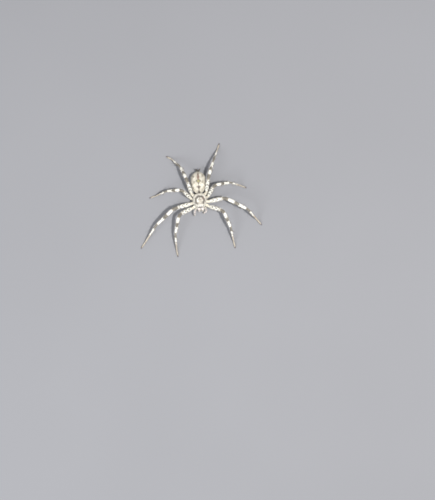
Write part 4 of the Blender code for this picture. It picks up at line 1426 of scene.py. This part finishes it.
def build_eyes(eyes, finishes):
    """The lenses of the eyes, as balls that are sunk in their rims."""
    for name, (centre, radius) in eyes.items():
        turn = np.linspace(*EYE_ENDS, EYE_RINGS) * math.pi
        middles = centre - FORWARD * (radius * np.cos(turn))[:, None]
        reach = radius * np.sin(turn)
        ball = rings_round(middles, np.tile(FORWARD, (EYE_RINGS, 1)), reach, reach, reach, EYE_SIDES)
        lens = plain_surface(ball, ("horn", "horn"))
        surface_piece(f"lens_{name}", [lens], finishes["eye"], [name])


def straight_surface(start, end, profile, colours, sides=24, rings=30, bow=0.0, tallness=1.0):
    """A closed bowed shape between two points."""
    share = np.linspace(0.0, 1.0, rings)
    centres = start + (end - start) * share[:, None] + UP * (4.0 * bow * share * (1.0 - share))[:, None]
    tangents = unit(np.gradient(centres, axis=0))
    width = np.maximum(smoothed(value_at(share, profile), TIP_ROUND), TIP_LEAST)
    points = rings_round(centres, tangents, width, width * tallness, width * tallness, sides)
    return plain_surface(points, colours)


def build_underside(finishes):
    """The hub between the coxae with the sternum on it, labium, maxillae and pedicel, as one skin."""
    chance = np.random.default_rng(SEEDS["underside"])
    angles = ring_angles(HUB_SIDES)
    levels = np.arange(len(HUB_LEVELS))
    dense = np.linspace(0, levels[-1], HUB_RINGS)
    heights, half_widths, half_lengths = read_off(dense, levels, HUB_LEVELS).T
    left = half_widths[:, None] * np.sin(angles)
    ahead = STERNUM_AHEAD + half_lengths[:, None] * np.cos(angles)
    points = LEFT * left[..., None] + FORWARD * ahead[..., None] + UP * heights[:, None, None]
    tint = np.broadcast_to(linear("belly"), points.shape)
    rim_amount, rim_height, rim_width = STERNUM_RIM
    rim = stripe(heights - rim_height, rim_width)[:, None] * np.ones(HUB_SIDES)
    hub = Surface(points, mix(tint, "taupe", rim_amount * rim), points)

    in_hub, in_abdomen = PEDICEL_SUNK
    start = in_prosoma(0.0, STERNUM_AHEAD - STERNUM_HALF_LENGTH + in_hub, PEDICEL_HEIGHT)
    end = ABDOMEN_START + UP * (PEDICEL_HEIGHT + PEDICEL_RISE) + BACKWARD * in_abdomen
    pedicel = straight_surface(start, end, PEDICEL_PROFILE, ("belly", "belly"))
    start, end = places_in_prosoma(1, LABIUM)
    mouth = [straight_surface(start, end, LABIUM_PROFILE, ("taupe", "cream"))]
    for _, sign in SIDES:
        start, end = places_in_prosoma(sign, MAXILLA)
        colours = ("belly", "cream")
        mouth.append(straight_surface(start, end, MAXILLA_PROFILE, colours, tallness=MAXILLA_TALLNESS))
    nodes = ["sternum", "labium", "maxilla_left", "maxilla_right", "pedicel"]
    surface_piece("skin_underside", [hub, pedicel, *mouth], finishes["carapace"], nodes)

    backward = np.broadcast_to(-FORWARD, points.shape)
    growths = [grow_hair(hub, HUB_COAT, chance, flow=backward)]
    growths += [grow_hair(part, MOUTH_COAT, chance) for part in mouth]
    hair_piece("coat_underside", growths, finishes["hair"])


def fang_surface(root, outwards, sideways):
    """A fang that leaves its jaw along outwards and curls back towards the midline."""
    turn = np.radians(np.linspace(0.0, FANG_CURL, FANG_RINGS))[:, None]
    backwards = unit(sideways * FANG_AIM[0] - FORWARD * FANG_AIM[1])
    aims = unit(outwards * np.cos(turn) + backwards * np.sin(turn))
    centres = curve_from(root, aims, FANG_LENGTH)
    return thorn_surface(centres, FANG_ROOT, FANG_TAPER, FANG_SIDES, ("horn_root", "horn"))


def build_jaws(finishes):
    """The two chelicerae with their coats and fangs."""
    chance = np.random.default_rng(SEEDS["jaws"])
    share = np.linspace(0.0, 1.0, CHELICERA_RINGS)[:, None] * np.ones(CHELICERA_SIDES)
    band_amount, band_place, band_width = CHELICERA_BAND
    end_amount, *end_places = CHELICERA_END
    for side, sign in SIDES:
        root, tip = places_in_prosoma(sign, CHELICERA_ENDS)
        surface = straight_surface(
            root,
            tip,
            CHELICERA_PROFILE,
            ("blush", "cream"),
            sides=CHELICERA_SIDES,
            rings=CHELICERA_RINGS,
            bow=CHELICERA_BOW,
            tallness=CHELICERA_TALLNESS,
        )
        tint = mix(surface.tint, "beige", band_amount * stripe(share - band_place, band_width))
        tint = mix(tint, "horn_root", end_amount * ramp(share, *end_places))
        surface = surface._replace(tint=tint)
        name = f"chelicera_{side}"
        surface_piece(f"skin_{name}", [surface], finishes["carapace"], [name])
        coat = grow_hair(surface, CHELICERA_COAT, chance)
        fine = grow_hair(surface, CHELICERA_FINE_HAIR, chance, tint="ivory")
        hair_piece(f"coat_{name}", [coat, fine], finishes["hair"])
        outwards = unit(surface.points[-1].mean(axis=0) - surface.points[-4].mean(axis=0))
        fang = fang_surface(tip - outwards * FANG_SUNK, outwards, LEFT * -sign)
        surface_piece(f"horn_fang_{side}", [fang], finishes["horn"], [f"fang_{side}"])


def build_palps(finishes):
    """The two palps with their coats."""
    chance = np.random.default_rng(SEEDS["palps"])
    for side, sign in SIDES:
        joints = places_in_prosoma(sign, PALPS[side])
        line = limb_line(joints, PALP_BOWS, PALP_PROFILES, PALP_SIZE, PALP_CREASES)
        surface = limb_surface(line, PALP_BANDS, PALP_DOTS)
        nodes = [f"palp_{side}_femur", f"palp_{side}_tarsus"]
        surface_piece(f"skin_palp_{side}", [surface], finishes["leg"], nodes)
        coat = grow_hair(surface, PALP_COAT, chance)
        fine = grow_hair(surface, PALP_FINE_HAIR, chance, tint="ivory")
        hair_piece(f"coat_palp_{side}", [coat, fine], finishes["hair"])


def abdomen_share(share):
    """How wide the abdomen is at a share of its length, next to its widest."""
    taper = ABDOMEN_FRONT_TAPER + (1.0 - ABDOMEN_FRONT_TAPER) * np.minimum(1.0, share / ABDOMEN_WIDEST)
    bluntness = np.where(share < 0.5, ABDOMEN_FRONT_BLUNTNESS, ABDOMEN_REAR_BLUNTNESS)
    return taper * (1.0 - np.abs(2.0 * share - 1.0) ** ABDOMEN_PLAN_POWER) ** bluntness


def abdomen_colour(along, left, height):
    """Pale sand, with blotches in pairs, a row of marks along the middle and an outlined diamond."""
    tint = np.broadcast_to(linear("sand"), (*along.shape, 3))
    olive = ramp(np.abs(left), *OLIVE_ASIDE) * ramp(along, *OLIVE_ALONG)
    tint = mix(tint, "olive", OLIVE_AMOUNT * olive)
    tint = add_marks(tint, left, along, mirrored((*ABDOMEN_BLOTCHES, *DIMPLE_MARKS)))
    half_width = value_at(along, WEDGE_HALF_WIDTHS)
    wedge = blot(left, along - WEDGE_ALONG, half_width, WEDGE_HALF_LENGTH, WEDGE_EDGE)
    tint = mix(tint, "dot", WEDGE_AMOUNT * wedge)
    tint = add_marks(tint, left, along, ABDOMEN_FRONT_MARKS)
    middle_left, middle_along, half_left, half_along = DIAMOND
    reach = np.abs(left - middle_left) / half_left + np.abs(along - middle_along) / half_along
    for colour, (amount, places) in (("umber", DIAMOND_LINE), ("pear", DIAMOND_INSIDE)):
        tint = mix(tint, colour, amount * ramp(reach, *places))
    tint = add_marks(tint, left, along, ABDOMEN_REAR_MARKS)
    belly = ramp(height, *BELLY_HEIGHTS)
    tint = mix(tint, "belly", belly)
    darker = belly * blot(left, along - BELLY_DARK_ALONG, *BELLY_DARK)
    return mix(tint, "taupe", BELLY_DARK_AMOUNT * darker)


def abdomen_dents(left, along, top):
    """How deep the abdomen's skin is dented, and where the furrow across the belly is."""
    dent = furrow(left, along, ABDOMEN_FURROW) * top
    for place, aside in ABDOMEN_DIMPLES:
        away = np.hypot(along - place, np.abs(left) - aside)
        dent = dent + DIMPLE_DEPTH * hill(away, DIMPLE_WIDTH) * top
    furrow_depth, middle, bend, half_width, half_length = BELLY_FURROW
    across_belly = hill(along - middle + bend * left**2, half_width)
    across_belly = across_belly * (np.abs(left) < half_length) * ~top
    fold_depth, turn_along, turn_aside = FOLDS
    folds = np.sin(along * turn_along + np.abs(left) * turn_aside) * ramp(along, *FOLDS_BEGIN)
    return dent + furrow_depth * across_belly + fold_depth * folds, across_belly


def build_abdomen(finishes):
    """The abdomen with its coat, and the spinnerets behind it."""
    chance = np.random.default_rng(SEEDS["abdomen"])
    turn = np.linspace(ABDOMEN_END_ANGLE, math.pi - ABDOMEN_END_ANGLE, ABDOMEN_RINGS)
    share = (1.0 - np.cos(turn)) / 2.0
    width = abdomen_share(share)
    height = smoothed(value_at(share, ABDOMEN_AXIS), ABDOMEN_AXIS_ROUND)
    centres = ABDOMEN_START + BACKWARD * (ABDOMEN_LENGTH * share)[:, None] + UP * height[:, None]
    reaches = [reach * width - COAT_DEPTH for reach in (ABDOMEN_HALF_WIDTH, ABDOMEN_RISE, ABDOMEN_DROP)]
    tangents = np.tile(BACKWARD, (ABDOMEN_RINGS, 1))
    points = rings_round(centres, tangents, *reaches, ABDOMEN_SIDES, ABDOMEN_POWER)
    along = (points - ABDOMEN_START) @ BACKWARD
    left = (points - ABDOMEN_START) @ ABDOMEN_LEFT
    dent, across_belly = abdomen_dents(left, along, points[..., 2] > ABDOMEN_SIDE_HEIGHT)
    points = points - grid_normals(points) * dent[..., None]
    tint = abdomen_colour(along, left, points[..., 2])
    tint = mix(tint, "taupe", BELLY_FURROW_AMOUNT * across_belly)
    lay = np.stack((left, along * ABDOMEN_LAY_SQUEEZE, points[..., 2]), axis=-1)
    surface = Surface(points, tint, lay)
    surface_piece("skin_abdomen", [surface], finishes["abdomen"], ["abdomen"])

    size = value_at(along, ABDOMEN_HAIR_SIZES)
    coat = grow_hair(surface, ABDOMEN_COAT, chance, size=size)
    fine = grow_hair(surface, ABDOMEN_FINE_HAIR, chance, size=size, tint="ivory")
    outwards = grid_normals(points)
    front = ramp(-outwards @ BACKWARD, *FRINGE_FACING) * ramp(points[..., 2], *FRINGE_HEIGHTS)
    flow = outwards * FRINGE_OUT + UP * FRINGE_UP - BACKWARD
    fringe = grow_hair(surface, ABDOMEN_FRINGE, chance, weight=front + 1e-9, flow=flow)
    hair_piece("coat_abdomen", [coat, fine, fringe], finishes["hair"])
    build_spinnerets(finishes, chance)


def build_spinnerets(finishes, chance):
    """Three pairs of spinnerets on a low mound, with their coat."""
    base = ABDOMEN_START + BACKWARD * (ABDOMEN_LENGTH - MOUND_SUNK) + UP * ABDOMEN_AXIS[-1][1]
    base = base + ABDOMEN_LEFT * SPINNERET_SHIFT
    end = base + BACKWARD * MOUND_LENGTH
    colours = ("olive", "spinneret")
    cones = [straight_surface(base, end, SPINNERET_MOUND, colours, tallness=MOUND_TALLNESS)]
    for lean, drop, length, half_width, below in SPINNERETS:
        taper = [(share, half_width * narrow) for share, narrow in SPINNERET_TAPER]
        for _, sign in SIDES:
            aim = unit(heading(ABDOMEN_HEADING - sign * lean) - UP * math.tan(math.radians(drop)))
            aside = ABDOMEN_LEFT * (sign * SPINNERET_ASIDE)
            start = end - BACKWARD * SPINNERET_SUNK + aside - UP * below
            tip = start + aim * (length + SPINNERET_SUNK)
            cones.append(straight_surface(start, tip, taper, ("spinneret", "umber"), SPINNERET_SIDES))
    surface_piece("skin_spinnerets", cones, finishes["abdomen"], ["spinnerets"])
    growths = [grow_hair(cone, SPINNERET_COAT, chance) for cone in cones]
    hair_piece("coat_spinnerets", growths, finishes["hair"])


def add_area_light(name, place, size, power, colour):
    """A round lamp that points at the spider."""
    data = bpy.data.lights.new(name, "AREA")
    data.shape = "DISK"
    data.size = size
    data.energy = power
    data.color = linear(colour)
    light = bpy.data.objects.new(name, data)
    bpy.context.scene.collection.objects.link(light)
    light.location = place
    light.rotation_euler = (-Vector(place)).to_track_quat("-Z", "Y").to_euler()


def build_stage():
    """The floor, the lights, the world and the camera."""
    bpy.ops.mesh.primitive_plane_add(size=FLOOR_SIZE)
    floor = bpy.context.active_object
    floor.name = "floor"
    floor.data.materials.append(floor_material())

    for name, settings in LIGHTS.items():
        add_area_light(name, *settings)
    world = bpy.data.worlds.new("studio")
    world.use_nodes = True
    background = world.node_tree.nodes["Background"]
    background.inputs["Color"].default_value = (*linear("sky"), 1.0)
    background.inputs["Strength"].default_value = SKY_STRENGTH
    bpy.context.scene.world = world
    bpy.context.scene.view_settings.view_transform = "Standard"

    data = bpy.data.cameras.new("camera")
    data.lens = CAMERA_LENS
    data.sensor_width = CAMERA_SENSOR
    data.clip_start, data.clip_end = CAMERA_CLIP
    camera = bpy.data.objects.new("camera", data)
    bpy.context.scene.collection.objects.link(camera)
    distance = CAMERA_FRAME_HEIGHT * CAMERA_LENS / CAMERA_SENSOR
    left, ahead = CAMERA_MIDDLE
    camera.location = (left * MM, ahead * MM, (distance + CAMERA_PLANE) * MM)
    bpy.context.scene.camera = camera


def build_spider():
    """All pieces of the spider, each in its finish.

    After a skin's name come its roughness and the width and depth of its streaks, and after a horn's
    its roughness and how much clear coat it has.
    """
    finishes = {
        # Thin cuticle over muscle, seen through flat hair: dull, a soft bloom, faint streaks
        "leg": skin_material("leg_cuticle_under_flat_hair", 0.58, 0.18, 0.05),
        # A hard shield under shorter hair: a broad, weak shine over the same streaks
        "carapace": skin_material("hard_cuticle_under_flat_hair", 0.50, 0.22, 0.05),
        # Soft, stretched skin under longer hair: the dullest, with the coarsest streaks
        "abdomen": skin_material("soft_cuticle_under_flat_hair", 0.62, 0.25, 0.06),
        # Dry, hollow hair: pale edges that catch the light, no gloss
        "hair": hair_material("dry_fine_hair", 0.55),
        # Stiff, smooth bristle: a dull glint along each spine
        "spine": horn_material("tanned_cuticle_of_spines", 0.40, 0.1),
        # Hard and worn smooth: small bright glints on fangs and claws
        "horn": horn_material("polished_cuticle_of_fangs", 0.25, 0.6),
        # Clear lens over dark depth: black, with one sharp highlight
        "eye": eye_material(),
    }
    build_head(finishes)
    build_underside(finishes)
    build_jaws(finishes)
    build_palps(finishes)
    build_abdomen(finishes)
    for name in LEG_PLANS:
        build_leg(name, finishes)


build_spider()
build_stage()
